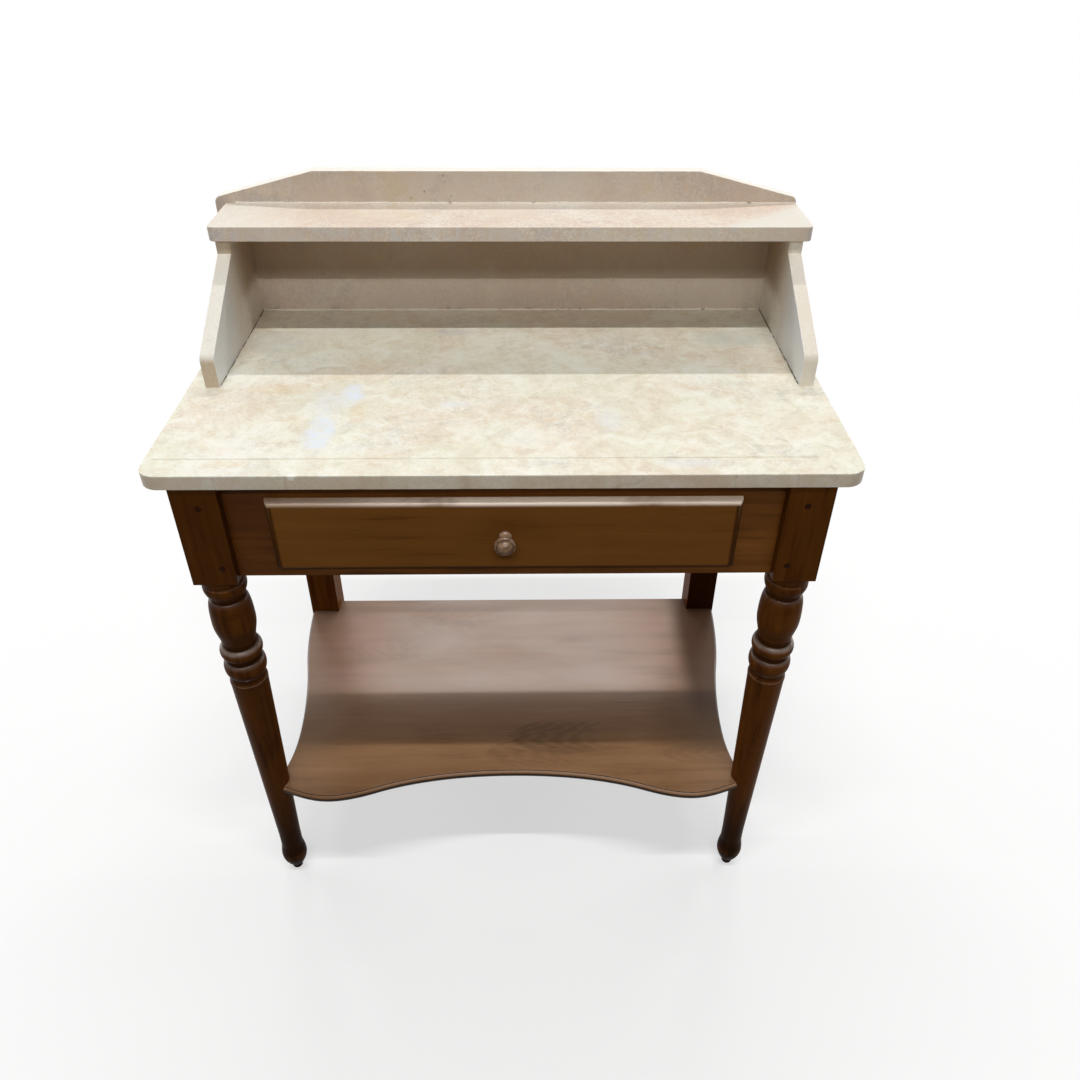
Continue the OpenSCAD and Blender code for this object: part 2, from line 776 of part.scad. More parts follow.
function without_first(pts) = [for (i = [1:len(pts) - 1]) pts[i]];

module lower_shelf() {
  nose_h = shelf_t - shelf_quirk_d;
  layers = 5;
  color(SHELF_WOOD) difference() {
    union() {
      for (i = [0:layers - 1])
        translate([0, 0, shelf_z + nose_h * i / layers])
          linear_extrude(nose_h / layers)
            polygon(shelf_outline(nose_inset((i + 0.5) / layers, nose_h / 2)));
      translate([0, 0, shelf_z]) linear_extrude(shelf_t) polygon(shelf_outline(shelf_quirk_w));
    }
    both_sides() {
      translate([leg_x, leg_y, shelf_z - CUT])
        cylinder(r = shelf_leg_r() + shelf_gap, h = shelf_t + 2 * CUT);
      front_dowel(glue_gap);
      rear_dowel(glue_gap);
    }
  }
}

// How far a half-round nose of radius r is drawn in at the share s of its height
function nose_inset(s, r) = (r - sqrt(r * r - pow(r * (2 * s - 1), 2))) * 0.8;

module front_dowel(grow = 0) {
  depth = dowel_depth + grow;
  translate([leg_x - shelf_leg_r() - depth, leg_y, shelf_z + shelf_t / 2]) rotate([0, 90, 0])
    cylinder(r = dowel_r + grow, h = 2 * depth);
}

module rear_dowel(grow = 0) {
  depth = dowel_depth + grow;
  translate([(rear_leg_in_x + rear_leg_out_x) / 2, rear_leg_y - depth, shelf_z + shelf_t / 2])
    rotate([-90, 0, 0]) cylinder(r = dowel_r + grow, h = 2 * depth);
}

module shelf_dowels() {
  color(RAW_WOOD) both_sides() {
    front_dowel();
    rear_dowel();
  }
}

// ---------- Drawer ----------

// Dovetails of the right side: [y, z] outlines from y_root towards y_end, across the side
module tails(y_root, y_end, z_low, z_high, grow = 0) {
  pitch = (z_high - z_low) / tail_count;
  way = sign(y_end - y_root);
  reach = way * grow;
  inside_y = y_root - way * CUT;
  for (i = [0:tail_count - 1]) {
    mid = z_low + pitch * (i + 0.5);
    root = tail_w / 2 + grow;
    side_profile(
      [[inside_y, mid - root], [inside_y, mid + root],
        [y_end + reach, mid + root + tail_flare], [y_end + reach, mid - root - tail_flare]],
      drawer_x - drawer_side_t - grow, drawer_x + (grow > 0 ? CUT : 0));
  }
}

module front_tails(grow = 0) {
  tails(inner_back_y, inner_back_y - tail_depth, drawer_z, drawer_top_z, grow);
}

module rear_tails(grow = 0) {
  tails(
    drawer_back_y - drawer_side_t, drawer_back_y,
    bottom_z + bottom_t, drawer_top_z - back_drop, grow);
}

// The space that the drawer bottom takes; grow widens it into its grooves
module bottom_board(grow = 0) {
  half = drawer_x - drawer_side_t + bottom_groove;
  front_groove = bottom_groove * 0.8;
  box(
    [-half - grow, inner_back_y - front_groove - grow, bottom_z - grow],
    [half + grow, drawer_back_y + grow, bottom_z + bottom_t + grow]);
}

module drawer_side() {
  difference() {
    union() {
      box(
        [drawer_x - drawer_side_t, inner_back_y, drawer_z],
        [drawer_x, drawer_back_y - drawer_side_t, drawer_top_z]);
      box(
        [drawer_x - drawer_side_t, drawer_back_y - drawer_side_t - CUT, drawer_z],
        [drawer_x, drawer_back_y, bottom_z + bottom_t]);
      front_tails();
      rear_tails();
    }
    bottom_board(glue_gap);
  }
}

module drawer_side_right() { color(RAW_WOOD) drawer_side(); }
module drawer_side_left() { color(RAW_WOOD) mirror([1, 0, 0]) drawer_side(); }

// Half of a panel's edge seen from its end: a quarter-round on the front corner, as [across, out]
function lipped(half_low, half_high, n = 8) = concat(
  [[half_low, lip_back_y]],
  [for (i = [0:n]) let (a = 90 * i / n)
    [half_low + ovolo_w * (1 - cos(a)), face_y + ovolo_d * (1 - sin(a))]],
  [for (i = [n:-1:0]) let (a = 90 * i / n)
    [half_high - ovolo_w * (1 - cos(a)), face_y + ovolo_d * (1 - sin(a))]],
  [[half_high, lip_back_y]]);

module drawer_front() {
  lip_x = opening_x + lip_side;
  low = opening_z - lip_bottom;
  high = opening_top_z + lip_top;
  up_down = [for (p = lipped(low, high)) [p.y, p.x]];
  color(WOOD) difference() {
    union() {
      intersection() {
        translate([0, 0, low - CUT]) linear_extrude(high - low + 2 * CUT)
          polygon(lipped(-lip_x, lip_x));
        side_profile(up_down, -lip_x - CUT, lip_x + CUT);
      }
      box([-drawer_x, lip_back_y - CUT, drawer_z], [drawer_x, inner_back_y, drawer_top_z]);
    }
    both_sides() front_tails(glue_gap);
    bottom_board(glue_gap);
    spigot(glue_gap);
  }
}

module drawer_back() {
  color(RAW_WOOD) difference() {
    box(
      [-drawer_x, drawer_back_y - drawer_side_t, bottom_z + bottom_t],
      [drawer_x, drawer_back_y, drawer_top_z - back_drop]);
    both_sides() rear_tails(glue_gap);
    nails(glue_gap);
  }
}

module drawer_bottom() {
  color(RAW_WOOD) difference() {
    bottom_board();
    nails(glue_gap);
  }
}

module nails(grow = 0) {
  half = drawer_x - drawer_side_t;
  for (i = [0:nail_count - 1])
    translate([
      -half + 2 * half * (i + 0.5) / nail_count, drawer_back_y - drawer_side_t / 2, bottom_z - grow])
      cylinder(r = nail_r + grow, h = nail_l + 2 * grow);
}

module drawer_nails() {
  color(IRON) nails();
}

// ---------- Knob ----------

module spigot(grow = 0) {
  translate([0, inner_back_y + grow, knob_z]) rotate([90, 0, 0])
    cylinder(r = spigot_r + grow, h = inner_back_y - face_y + 2 * grow);
}

// The knob's turning as [radius, distance from the drawer front] points; the distances in the
// list are shares of the knob's reach
function knob_turning() =
  let (collar = knob_collar_r, neck = knob_neck_r, head = knob_head_r)
  [for (p = concat(
    [[0, 0], [collar, 0], [collar, 0.04]],
    bezier([collar * 0.93, 0.08], [neck * 1.06, 0.13], [neck * 0.94, 0.23], [neck, 0.38], 6),
    bezier([neck * 1.06, 0.44], [head * 0.78, 0.48], [head, 0.57], [head, 0.64], 7),
    bezier([head, 0.66], [head * 0.985, 0.72], [head * 0.91, 0.74], [head * 0.835, 0.74], 4),
    [[head * 0.79, 0.715]],
    bezier([head * 0.76, 0.74], [head * 0.7, 0.9], [head * 0.4, 1], [0, 1], 7)
  )) [p.x, p.y * knob_reach]];

module drawer_knob() {
  color(WOOD) union() {
    translate([0, face_y, knob_z]) rotate([90, 0, 0]) rotate_extrude() polygon(knob_turning());
    spigot();
  }
}

// ---------- Parts ----------

marble_slab();
back_panel();
cheek_left();
cheek_right();
upper_shelf();
marble_pins();
leg_front_left();
leg_front_right();
leg_rear_left();
leg_rear_right();
front_rail_top();
front_rail_bottom();
front_stile_left();
front_stile_right();
side_apron_left();
side_apron_right();
rear_apron();
apron_pegs();
runner_left();
runner_right();
guide_left();
guide_right();
kicker_left();
kicker_right();
lower_shelf();
shelf_dowels();
drawer_front();
drawer_side_left();
drawer_side_right();
drawer_back();
drawer_bottom();
drawer_nails();
drawer_knob();
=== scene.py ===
"""The washstand with a marble top: shapes, finishes, camera and light, in metres.

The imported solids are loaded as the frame. Marble, turned legs, lower shelf and knob are built
again with worn arrises and fine turnings, the flat wooden pieces are softened copies of their
solids, and pegs, nails and bedding mortar are laid by Geometry Nodes. Sizes of the shapes are
in millimetres, and places in the finishes are in metres.
"""

import logging
import math
import random
from dataclasses import dataclass, replace
from enum import Enum
from typing import Callable, Iterable, Sequence

import bmesh
import bpy
from mathutils import Matrix, Vector, noise


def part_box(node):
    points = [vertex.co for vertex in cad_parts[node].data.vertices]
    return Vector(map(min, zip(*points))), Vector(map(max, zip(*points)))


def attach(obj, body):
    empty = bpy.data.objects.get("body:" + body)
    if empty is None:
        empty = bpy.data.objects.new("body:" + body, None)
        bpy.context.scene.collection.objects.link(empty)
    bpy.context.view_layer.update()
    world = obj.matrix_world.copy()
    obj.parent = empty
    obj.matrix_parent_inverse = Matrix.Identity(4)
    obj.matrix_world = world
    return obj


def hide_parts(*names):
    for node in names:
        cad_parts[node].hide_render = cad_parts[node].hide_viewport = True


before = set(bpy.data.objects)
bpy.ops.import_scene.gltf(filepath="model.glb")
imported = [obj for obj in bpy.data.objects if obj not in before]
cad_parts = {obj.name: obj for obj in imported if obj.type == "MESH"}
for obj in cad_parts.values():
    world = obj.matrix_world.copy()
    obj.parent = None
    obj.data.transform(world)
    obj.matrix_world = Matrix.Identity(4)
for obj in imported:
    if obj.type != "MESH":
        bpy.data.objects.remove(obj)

LOG = logging.getLogger("washstand")
MM = 0.001
NOWHERE = 9.0
CREASE = math.radians(32)
PLAIN = (1.0, 1.0, 1.0)
Point = tuple[float, float]
Spot = tuple[float, float, float]
Blotch = tuple[float, float, float, float]
Colour = tuple[int, int, int]
Placing = Callable[[float, float, float], Vector]


class Body(Enum):
    """The moving bodies of the washstand."""

    TABLE = "table"
    DRAWER = "drawer"


class Slot(Enum):
    """Names of material slots."""

    MARBLE = "marble"
    WALNUT = "walnut"
    DRAWER_WOOD = "drawer_wood"
    SHELF_WOOD = "shelf_wood"
    KNOB_WOOD = "knob_wood"
    PEG_WOOD = "peg_wood"
    RAW_WOOD = "raw_wood"
    IRON = "iron"


class Axis(Enum):
    """The direction in which the grain of a piece runs."""

    X = 0
    Y = 1
    Z = 2

    def factors(self, stretch: float) -> list[float]:
        """Factors that draw a pattern out along this direction."""
        return [stretch if i == self.value else 1.0 for i in range(3)]


class Tone(Enum):
    """The colours of single marks, as screen colours of 0 to 255."""

    SHELTERED = (138, 104, 66)
    SWIRL_DARK = (196, 180, 150)
    SWIRL_LIGHT = (244, 245, 236)
    VEIN = (250, 250, 242)
    REAR_SHADE = (160, 140, 118)
    GREY_STAIN = (200, 202, 196)
    OCHRE_PATCH = (226, 202, 164)
    MILKY = (226, 228, 230)
    SPILL = (226, 233, 242)
    RING_MARK = (160, 142, 116)
    SCRIBED = (160, 144, 112)
    SAWN_EDGE = (214, 182, 148)
    FRESH_CHIP = (252, 250, 238)
    PALE_UPPER_FACE = (246, 243, 234)
    PALE_INNER_FACE = (242, 246, 252)
    YELLOWED = (198, 172, 132)
    SLOPE_HIGHLIGHT = (252, 248, 234)
    PALE_EDGE = (248, 240, 222)
    PALE_END = (228, 226, 216)
    ROUGH_EDGE = (222, 220, 218)
    HOLLOW = (34, 18, 8)
    VARNISH = (255, 236, 214)
    GRIME = (36, 12, 4)
    DAMP = (25, 14, 6)
    RING_HIGHLIGHT = (150, 134, 122)
    DIM_RAIL = (78, 42, 14)
    MOULDING_HIGHLIGHT = (255, 236, 216)
    MOULDING_SHADE = (40, 18, 5)
    BLOOM = (208, 192, 184)
    REDDENED = (196, 146, 132)
    MIDDLE_BAND_SHADE = (112, 90, 78)
    WARM_END = (112, 80, 60)
    RIGHT_END = (74, 50, 36)
    MIDDLE_BAND = (58, 39, 27)
    FRONT_BAND = (104, 78, 50)
    ARCH = (78, 58, 42)
    FRONT_SHADE = (84, 54, 30)
    NOSE_HIGHLIGHT = (196, 164, 142)
    DARK_SIDE = (44, 27, 15)
    UNDERSIDE = (34, 20, 12)
    OLD_STAIN = (92, 68, 46)


# ---------- Shader maths ----------


class Tap:
    """A socket of a node tree that can be written into sums."""

    def __init__(self, graph: "Graph", socket: bpy.types.NodeSocket) -> None:
        """Wraps a socket of the graph."""
        self.graph = graph
        self.socket = socket

    def __add__(self, other: "Tap | float") -> "Tap":
        """Sum."""
        return self.graph.math("ADD", self, other)

    def __radd__(self, other: float) -> "Tap":
        """Sum with a number in front."""
        return self.graph.math("ADD", other, self)

    def __sub__(self, other: "Tap | float") -> "Tap":
        """Difference."""
        return self.graph.math("SUBTRACT", self, other)

    def __rsub__(self, other: float) -> "Tap":
        """Difference with a number in front."""
        return self.graph.math("SUBTRACT", other, self)

    def __mul__(self, other: "Tap | float") -> "Tap":
        """Product."""
        return self.graph.math("MULTIPLY", self, other)

    def __rmul__(self, other: float) -> "Tap":
        """Product with a number in front."""
        return self.graph.math("MULTIPLY", other, self)

    def __truediv__(self, other: "Tap | float") -> "Tap":
        """Quotient."""
        return self.graph.math("DIVIDE", self, other)

    def __pow__(self, other: float) -> "Tap":
        """Power."""
        return self.graph.math("POWER", self, other)

    def __abs__(self) -> "Tap":
        """Size without its sign."""
        return self.graph.math("ABSOLUTE", self)

    def wave(self) -> "Tap":
        """Sine, moved to run from 0 to 1."""
        return self.graph.math("SINE", self) * 0.5 + 0.5

    def at_most(self, other: "Tap | float") -> "Tap":
        """The smaller of two values."""
        return self.graph.math("MINIMUM", self, other)

    def at_least(self, other: "Tap | float") -> "Tap":
        """The larger of two values."""
        return self.graph.math("MAXIMUM", self, other)

    def between(self, low: float, high: float) -> "Tap":
        """Rises smoothly from 0 at low to 1 at high."""
        return self.graph.node(
            "ShaderNodeMapRange",
            {"interpolation_type": "SMOOTHSTEP"},
            {"Value": self, "From Min": low, "From Max": high},
            "Result",
        )

    def falling(self, low: float, high: float) -> "Tap":
        """Falls smoothly from 1 at low to 0 at high."""
        return 1 - self.between(low, high)

    def near(self, middle: float, low: float, high: float) -> "Tap":
        """1 at the middle, fading out from low to high away from it."""
        return abs(self - middle).falling(low, high)


def distance(first: Tap, *others: Tap) -> Tap:
    """The length of a line, from its extent in each direction.

    Args:
        first: Its extent in one direction.
        others: Its extents in the other directions.

    Returns:
        The length.
    """
    total = first**2.0
    for extent in others:
        total = total + extent**2.0
    return total**0.5


class Graph:
    """Builds one node tree."""

    def __init__(self, tree: bpy.types.NodeTree) -> None:
        """Keeps the tree that the nodes go into."""
        self.tree = tree

    @classmethod
    def emptied(cls, owner: "bpy.types.Material | bpy.types.World") -> "Graph":
        """The tree of a material or of the world, with nothing in it.

        Args:
            owner: The material or the world.

        Returns:
            Its graph.
        """
        owner.use_nodes = True
        owner.node_tree.nodes.clear()
        return cls(owner.node_tree)

    def node(
        self,
        kind: str,
        settings: dict[str, object] | None = None,
        sockets: dict[str | int, object] | None = None,
        output: str | int = 0,
    ) -> Tap:
        """Adds a node.

        Args:
            kind: The node's type.
            settings: Its own values, set before its sockets.
            sockets: A value or a Tap for each socket, by name, identifier or place.
            output: The name, identifier or place of the socket that is given back.

        Returns:
            The chosen output.
        """
        made = self.tree.nodes.new(kind)
        for name, value in (settings or {}).items():
            setattr(made, name, value)
        for name, value in (sockets or {}).items():
            socket = self.find(made.inputs, name)
            if isinstance(value, Tap):
                self.tree.links.new(value.socket, socket)
            else:
                socket.default_value = value
        return Tap(self, self.find(made.outputs, output))

    @staticmethod
    def find(sockets: Iterable[bpy.types.NodeSocket], name: str | int) -> bpy.types.NodeSocket:
        """The socket with that place, identifier or name.

        Args:
            sockets: A node's inputs or outputs.
            name: The place, identifier or name.

        Returns:
            The socket.
        """
        if isinstance(name, int):
            return sockets[name]
        for key in ("identifier", "name"):
            for socket in sockets:
                if getattr(socket, key) == name and (key == "identifier" or socket.enabled):
                    return socket
        raise KeyError(name)

    def close(self, kind: str, result: Tap) -> None:
        """Adds the output node of that type and ties the result to it."""
        end = self.tree.nodes.new(kind)
        self.tree.links.new(result.socket, end.inputs[0])

    def math(self, operation: str, *values: "Tap | float") -> Tap:
        """A Math node."""
        return self.node("ShaderNodeMath", {"operation": operation}, dict(enumerate(values)))

    def mix(self, share: Tap, first: "Tap | Colour", second: Colour) -> Tap:
        """Mixes a colour with a screen colour.

        Args:
            share: How much of the second colour is laid over the first, from 0 to 1.
            first: The colour below, mixed already or a screen colour.
            second: The screen colour above.

        Returns:
            The mixed colour.
        """
        base = first if isinstance(first, Tap) else linear(first)
        sockets = {"Factor_Float": share, "A_Color": base, "B_Color": linear(second)}
        return self.node("ShaderNodeMix", {"data_type": "RGBA"}, sockets, "Result_Color")

    def parts(self, vector: Tap) -> list[Tap]:
        """The three coordinates of a vector."""
        first = self.node("ShaderNodeSeparateXYZ", {}, {0: vector})
        return [Tap(self, socket) for socket in first.socket.node.outputs]

    def attribute(self, name: str) -> Tap:
        """A value that is stored on the mesh."""
        return self.node("ShaderNodeAttribute", {"attribute_name": name}, {}, "Fac")

    def bump(self, height: Tap, depth: float, strength: float) -> Tap:
        """A Bump node, its depth in metres."""
        sockets = {"Height": height, "Distance": depth, "Strength": strength}
        return self.node("ShaderNodeBump", {}, sockets, "Normal")


def linear(colour: Colour) -> tuple[float, float, float, float]:
    """A screen colour of 0 to 255 as the linear colour that a socket takes.

    Args:
        colour: Red, green and blue.

    Returns:
        The same colour with an alpha of 1.
    """
    shares = [c / 255 for c in colour]
    values = [s / 12.92 if s <= 0.04045 else ((s + 0.055) / 1.055) ** 2.4 for s in shares]
    return (values[0], values[1], values[2], 1.0)


class Paint:
    """A colour that is laid coat by coat, and the place and facing of what it covers."""

    def __init__(self, graph: Graph, ground: Colour) -> None:
        """Starts with the ground colour.

        Args:
            graph: The material's tree.
            ground: The screen colour under all coats.
        """
        self.graph = graph
        self.colour: Tap | Colour = ground
        self.place = graph.node("ShaderNodeTexCoord", {}, {}, "Object")
        self.x, self.y, self.z = graph.parts(self.place)
        facing = graph.node("ShaderNodeNewGeometry", {}, {}, "Normal")
        self.across, self.front, self.up = graph.parts(facing)

    def lay(self, share: Tap, tone: Tone | Colour) -> None:
        """Covers a share of the colour, from 0 to 1, with a tone."""
        second = tone.value if isinstance(tone, Tone) else tone
        self.colour = self.graph.mix(share, self.colour, second)

    def noise(
        self, scale: float, detail: float, rough: float, warp: float = 0.0,
        factors: Sequence[float] = PLAIN,
    ) -> Tap:
        """A noise value, about 0.3 to 0.7.

        Args:
            scale: How many of its clouds lie side by side in a metre.
            detail: The number of finer layers.
            rough: How strong they are.
            warp: How much it is distorted.
            factors: What the coordinates are multiplied by, to draw it out.

        Returns:
            The value.
        """
        sockets = {"Scale": scale, "Detail": detail, "Roughness": rough, "Distortion": warp}
        place = self.place
        if factors is not PLAIN:
            place = self.graph.node(
                "ShaderNodeVectorMath", {"operation": "MULTIPLY"}, {0: place, 1: tuple(factors)}
            )
        return self.graph.node("ShaderNodeTexNoise", {}, {"Vector": place, **sockets})

    def spots(self, scale: float) -> Tap:
        """The distance to the nearest of scattered points."""
        sockets = {"Vector": self.place, "Scale": scale}
        return self.graph.node("ShaderNodeTexVoronoi", {}, sockets, "Distance")


# ---------- Finishes ----------

MADE: dict["Finish", bpy.types.Material] = {}


@dataclass(frozen=True)
class Finish:
    """What every finish has in common."""

    name: str
    pale: Colour
    dark: Colour

    def material(self) -> bpy.types.Material:
        """The material, made once."""
        if self not in MADE:
            made = bpy.data.materials.new(self.name)
            graph = Graph.emptied(made)
            sockets = self.sockets(Paint(graph, self.pale))
            shader = graph.node("ShaderNodeBsdfPrincipled", {}, sockets, "BSDF")
            graph.close("ShaderNodeOutputMaterial", shader)
            MADE[self] = made
        return MADE[self]

    def sockets(self, paint: Paint) -> dict[str, object]:
        """The values and links of the shader's sockets, from a paint of the pale colour.

        Args:
            paint: A paint of the pale colour, in the material's tree.

        Returns:
            A value or a Tap for each socket.
        """
        raise NotImplementedError


@dataclass(frozen=True)
class Marble(Finish):
    """Worn, honed limestone marble, mottled in cream, rose and grey."""

    pale: Colour = (232, 228, 210)
    rose: Colour = (226, 206, 186)
    grey: Colour = (206, 206, 198)
    ochre: Colour = (216, 192, 150)
    white: Colour = (242, 241, 234)
    dark: Colour = (112, 98, 80)
    rose_share: float = 0.6
    grey_share: float = 0.6
    soil_y: float = NOWHERE
    soil_z: float = NOWHERE
    sheltered: float = 0.0
    grain: float = 0.4
    roughness: float = 0.4

    def sockets(self, paint: Paint) -> dict[str, object]:
        """See Finish."""
        cloud = paint.noise(6.2, 4, 0.6, 0.5)
        drift = paint.noise(9.0, 4, 0.6, 0.4, (1, 1.4, 1))
        mottle = paint.noise(64, 5, 0.68, 0.3)
        fine = paint.noise(230, 4, 0.72, 0.1)
        paint.lay((cloud * 0.7 + mottle * 0.3).between(0.44, 0.58) * self.rose_share, self.rose)
        paint.lay((drift * 0.65 + mottle * 0.35).between(0.52, 0.64) * self.grey_share, self.grey)
        chalk = paint.noise(4.7, 4, 0.6, 0.4) * 0.7 + fine * 0.3
        paint.lay(chalk.between(0.5, 0.62) * 0.45, self.white)
        rust = paint.noise(8.5, 5, 0.62, 0.6, (1, 2.2, 1))
        paint.lay(rust.between(0.6, 0.7) * 0.4, self.ochre)
        web = abs(paint.noise(92, 3, 0.6, 0.25) - 0.5)
        paint.lay(web.falling(0.0, 0.05) * drift.between(0.36, 0.56) * 0.5, self.white)
        paint.lay(fine.between(0.54, 0.66) * self.grain, self.white)
        dusk = (1 - fine) * 0.5 + (1 - mottle) * 0.5
        paint.lay(dusk.between(0.5, 0.66) * 0.5, self.ochre)
        pit = paint.spots(16).falling(0.015, 0.032) * drift.between(0.48, 0.56)
        pit = pit.at_least(paint.spots(240).falling(0.04, 0.12) * mottle.between(0.56, 0.6))
        paint.lay(pit * 0.5, self.dark)
        self.mark(paint, mottle)
        # Painted shade under the upper shelf.
        paint.lay(self.shelf_shade(paint), Tone.SHELTERED)
        soil = self.soil(paint, mottle)
        paint.lay(soil, self.dark)
        worn = (fine - 0.5) * 0.16 + (cloud - 0.5) * 0.25 + soil * 0.3
        return {
            "Base Color": paint.colour,
            "Roughness": self.roughness + worn,
            "Specular IOR Level": 0.25,
            "Normal": paint.graph.bump(fine * 0.5 + mottle * 0.5 - pit * 1.2, 0.0004, 0.5),
        }

    def soil(self, paint: Paint, mottle: Tap) -> Tap:
        """Old dirt along a joint: near soil_y on flat faces, near soil_z on upright ones.

        Args:
            paint: Gives the place on the stone.
            mottle: Breaks up the border of the dirt.

        Returns:
            The share of the dirt, from 0 to 1.
        """
        patchy = paint.noise(24, 4, 0.65, 0.4).between(0.42, 0.6)
        reach = 0.0012 + mottle.between(0.42, 0.66) * patchy * 0.008
        flat = 1 - abs(paint.y - self.soil_y) / reach
        upright = 1 - abs(paint.z - self.soil_z) / reach
        return flat.at_least(upright).between(0.0, 0.9) * (0.12 + patchy * 0.25)

    def shelf_shade(self, paint: Paint) -> Tap:
        """Painted shade: a brown tone on the stone under the upper shelf, where the shelf shades
        it.

        Args:
            paint: Gives the place on the stone.

        Returns:
            The share of the tone, from 0 to 1.
        """
        y, z = paint.y, paint.z
        inside = paint.x.near(0.006, 0.391, 0.395) * y.falling(0.2455, 0.2475)
        deep = y.between(0.11, 0.2) * z.between(0.838, 0.868) * z.falling(0.944, 0.95)
        return inside * deep * self.sheltered

    def mark(self, paint: Paint, mottle: Tap) -> None:
        """Lays the marks of one piece, broken up by the mottle; plain stone has none.

        Args:
            paint: The colour that they are laid on.
            mottle: A noise that breaks them up.
        """


@dataclass(frozen=True)
class SlabMarble(Marble):
    """The slab's marble: pale spills, ochre patches, a scribed line and a ring mark.

    Each blotch is an ellipse on the upper face: its middle and its two half widths.
    """

    grain: float = 0.22
    spills: tuple[Blotch, ...] = (
        (-0.203, -0.036, 0.015, 0.033), (-0.229, -0.136, 0.020, 0.049),
    )
    clouds: tuple[Blotch, ...] = (
        (-0.229, -0.056, 0.030, 0.040), (-0.067, -0.066, 0.022, 0.008),
        (0.131, -0.108, 0.024, 0.036), (0.219, -0.211, 0.045, 0.012),
    )
    patches: tuple[Blotch, ...] = (
        (-0.188, -0.086, 0.013, 0.032), (-0.266, -0.106, 0.016, 0.014),
        (-0.300, -0.022, 0.055, 0.015), (-0.325, -0.209, 0.026, 0.009),
        (-0.197, 0.050, 0.024, 0.024),
    )
    greys: tuple[Blotch, ...] = (
        (-0.344, 0.122, 0.050, 0.046), (0.335, 0.134, 0.060, 0.034),
        (-0.080, 0.158, 0.034, 0.014),
    )
    line_y: float = -0.1989
    ring_middle: Point = (0.333, -0.172)
    ring_radius: float = 0.015
    chip: Spot = (-0.2439, -0.2365, 0.797)

    def mark(self, paint: Paint, mottle: Tap) -> None:
        """See Marble."""
        x, y, z = paint.x, paint.y, paint.z
        swirl = paint.noise(27, 5, 0.6, 0.9)
        shade = swirl.between(0.5, 0.6) * 0.2 + mottle.between(0.52, 0.62) * 0.16
        paint.lay(shade, Tone.SWIRL_DARK)
        light = swirl.falling(0.38, 0.49) * 0.34 + mottle.falling(0.4, 0.48) * 0.2
        paint.lay(light, Tone.SWIRL_LIGHT)
        web = abs(paint.noise(33, 3, 0.6, 1.4) - 0.5)
        paint.lay(web.falling(0.0, 0.022) * mottle.between(0.4, 0.54) * 0.3, Tone.VEIN)
        paint.lay(y.between(0.12, 0.21) * 0.24, Tone.REAR_SHADE)
        ragged = (paint.noise(52, 4, 0.68, 0.6) - 0.5) * 1.6
        on_top = z.between(0.797, 0.7975)
        for blotches, low, high, share, tone in (
            (self.greys, 0.3, 1.3, 0.5, Tone.GREY_STAIN),
            (self.patches, 0.45, 1.25, 0.12 + mottle.between(0.36, 0.62) * 0.4, Tone.OCHRE_PATCH),
            (self.clouds, 0.2, 1.3, 0.5, Tone.MILKY),
            (self.spills, 0.35, 1.25, 0.5 + mottle.between(0.42, 0.56) * 0.42, Tone.SPILL),
        ):
            whole = None
            for across, deep, half_x, half_y in blotches:
                away = distance((x - across) / half_x, (y - deep) / half_y)
                one = (away + ragged).falling(low, high)
                whole = one if whole is None else whole.at_least(one)
            paint.lay(whole * on_top * share, tone)
        away = distance(x - self.ring_middle[0], y - self.ring_middle[1])
        ring = (abs(away - self.ring_radius) / 0.0018).falling(0.2, 1.0)
        ring = ring * mottle.between(0.42, 0.56) * x.between(0.322, 0.34)
        paint.lay(ring * 0.3, Tone.RING_MARK)
        line = y.near(self.line_y, 0.0004, 0.0022) * z.between(0.7965, 0.7975)
        line = line * x.between(-0.4175, -0.4155) * x.falling(0.3705, 0.3725)
        paint.lay(line * (0.14 + mottle * 0.36), Tone.SCRIBED)
        edge, lean = z.falling(0.7955, 0.7972), (1, 0.06, 0.35)
        sawn = paint.noise(15, 1, 0.5, 0.0, lean).between(0.49, 0.505)
        paint.lay(edge * (0.5 - sawn * 0.18), Tone.SAWN_EDGE)
        seam = abs(paint.noise(7, 1, 0.5, 0.0, lean) - 0.5)
        paint.lay(edge * seam.falling(0.0, 0.004) * 0.16, self.dark)
        away = distance(x - self.chip[0], y - self.chip[1], z - self.chip[2])
        fresh = (away + (mottle - 0.5) * 0.01).falling(0.0035, 0.006)
        paint.lay(fresh * 0.85, Tone.FRESH_CHIP)


@dataclass(frozen=True)
class BackMarble(Marble):
    """The back panel's marble: paler faces that look upwards, and dark spots, each x, z and radius.
    """

    spots: tuple[Spot, ...] = (
        (-0.2831, 0.8557, 0.0022), (-0.1197, 0.9785, 0.0024), (-0.3813, 0.9803, 0.002),
        (-0.0915, 1.0007, 0.0026), (-0.14, 0.969, 0.0014), (-0.081, 0.972, 0.0013),
    )

    def mark(self, paint: Paint, mottle: Tap) -> None:
        """See Marble."""
        for across, high, size in self.spots:
            away = distance(paint.x - across, paint.z - high)
            spot = (away + (mottle - 0.5) * 0.003).falling(size * 0.4, size)
            paint.lay(spot * 0.5, self.dark)
        paint.lay(paint.up.between(0.4, 0.9) * 0.75, Tone.PALE_UPPER_FACE)


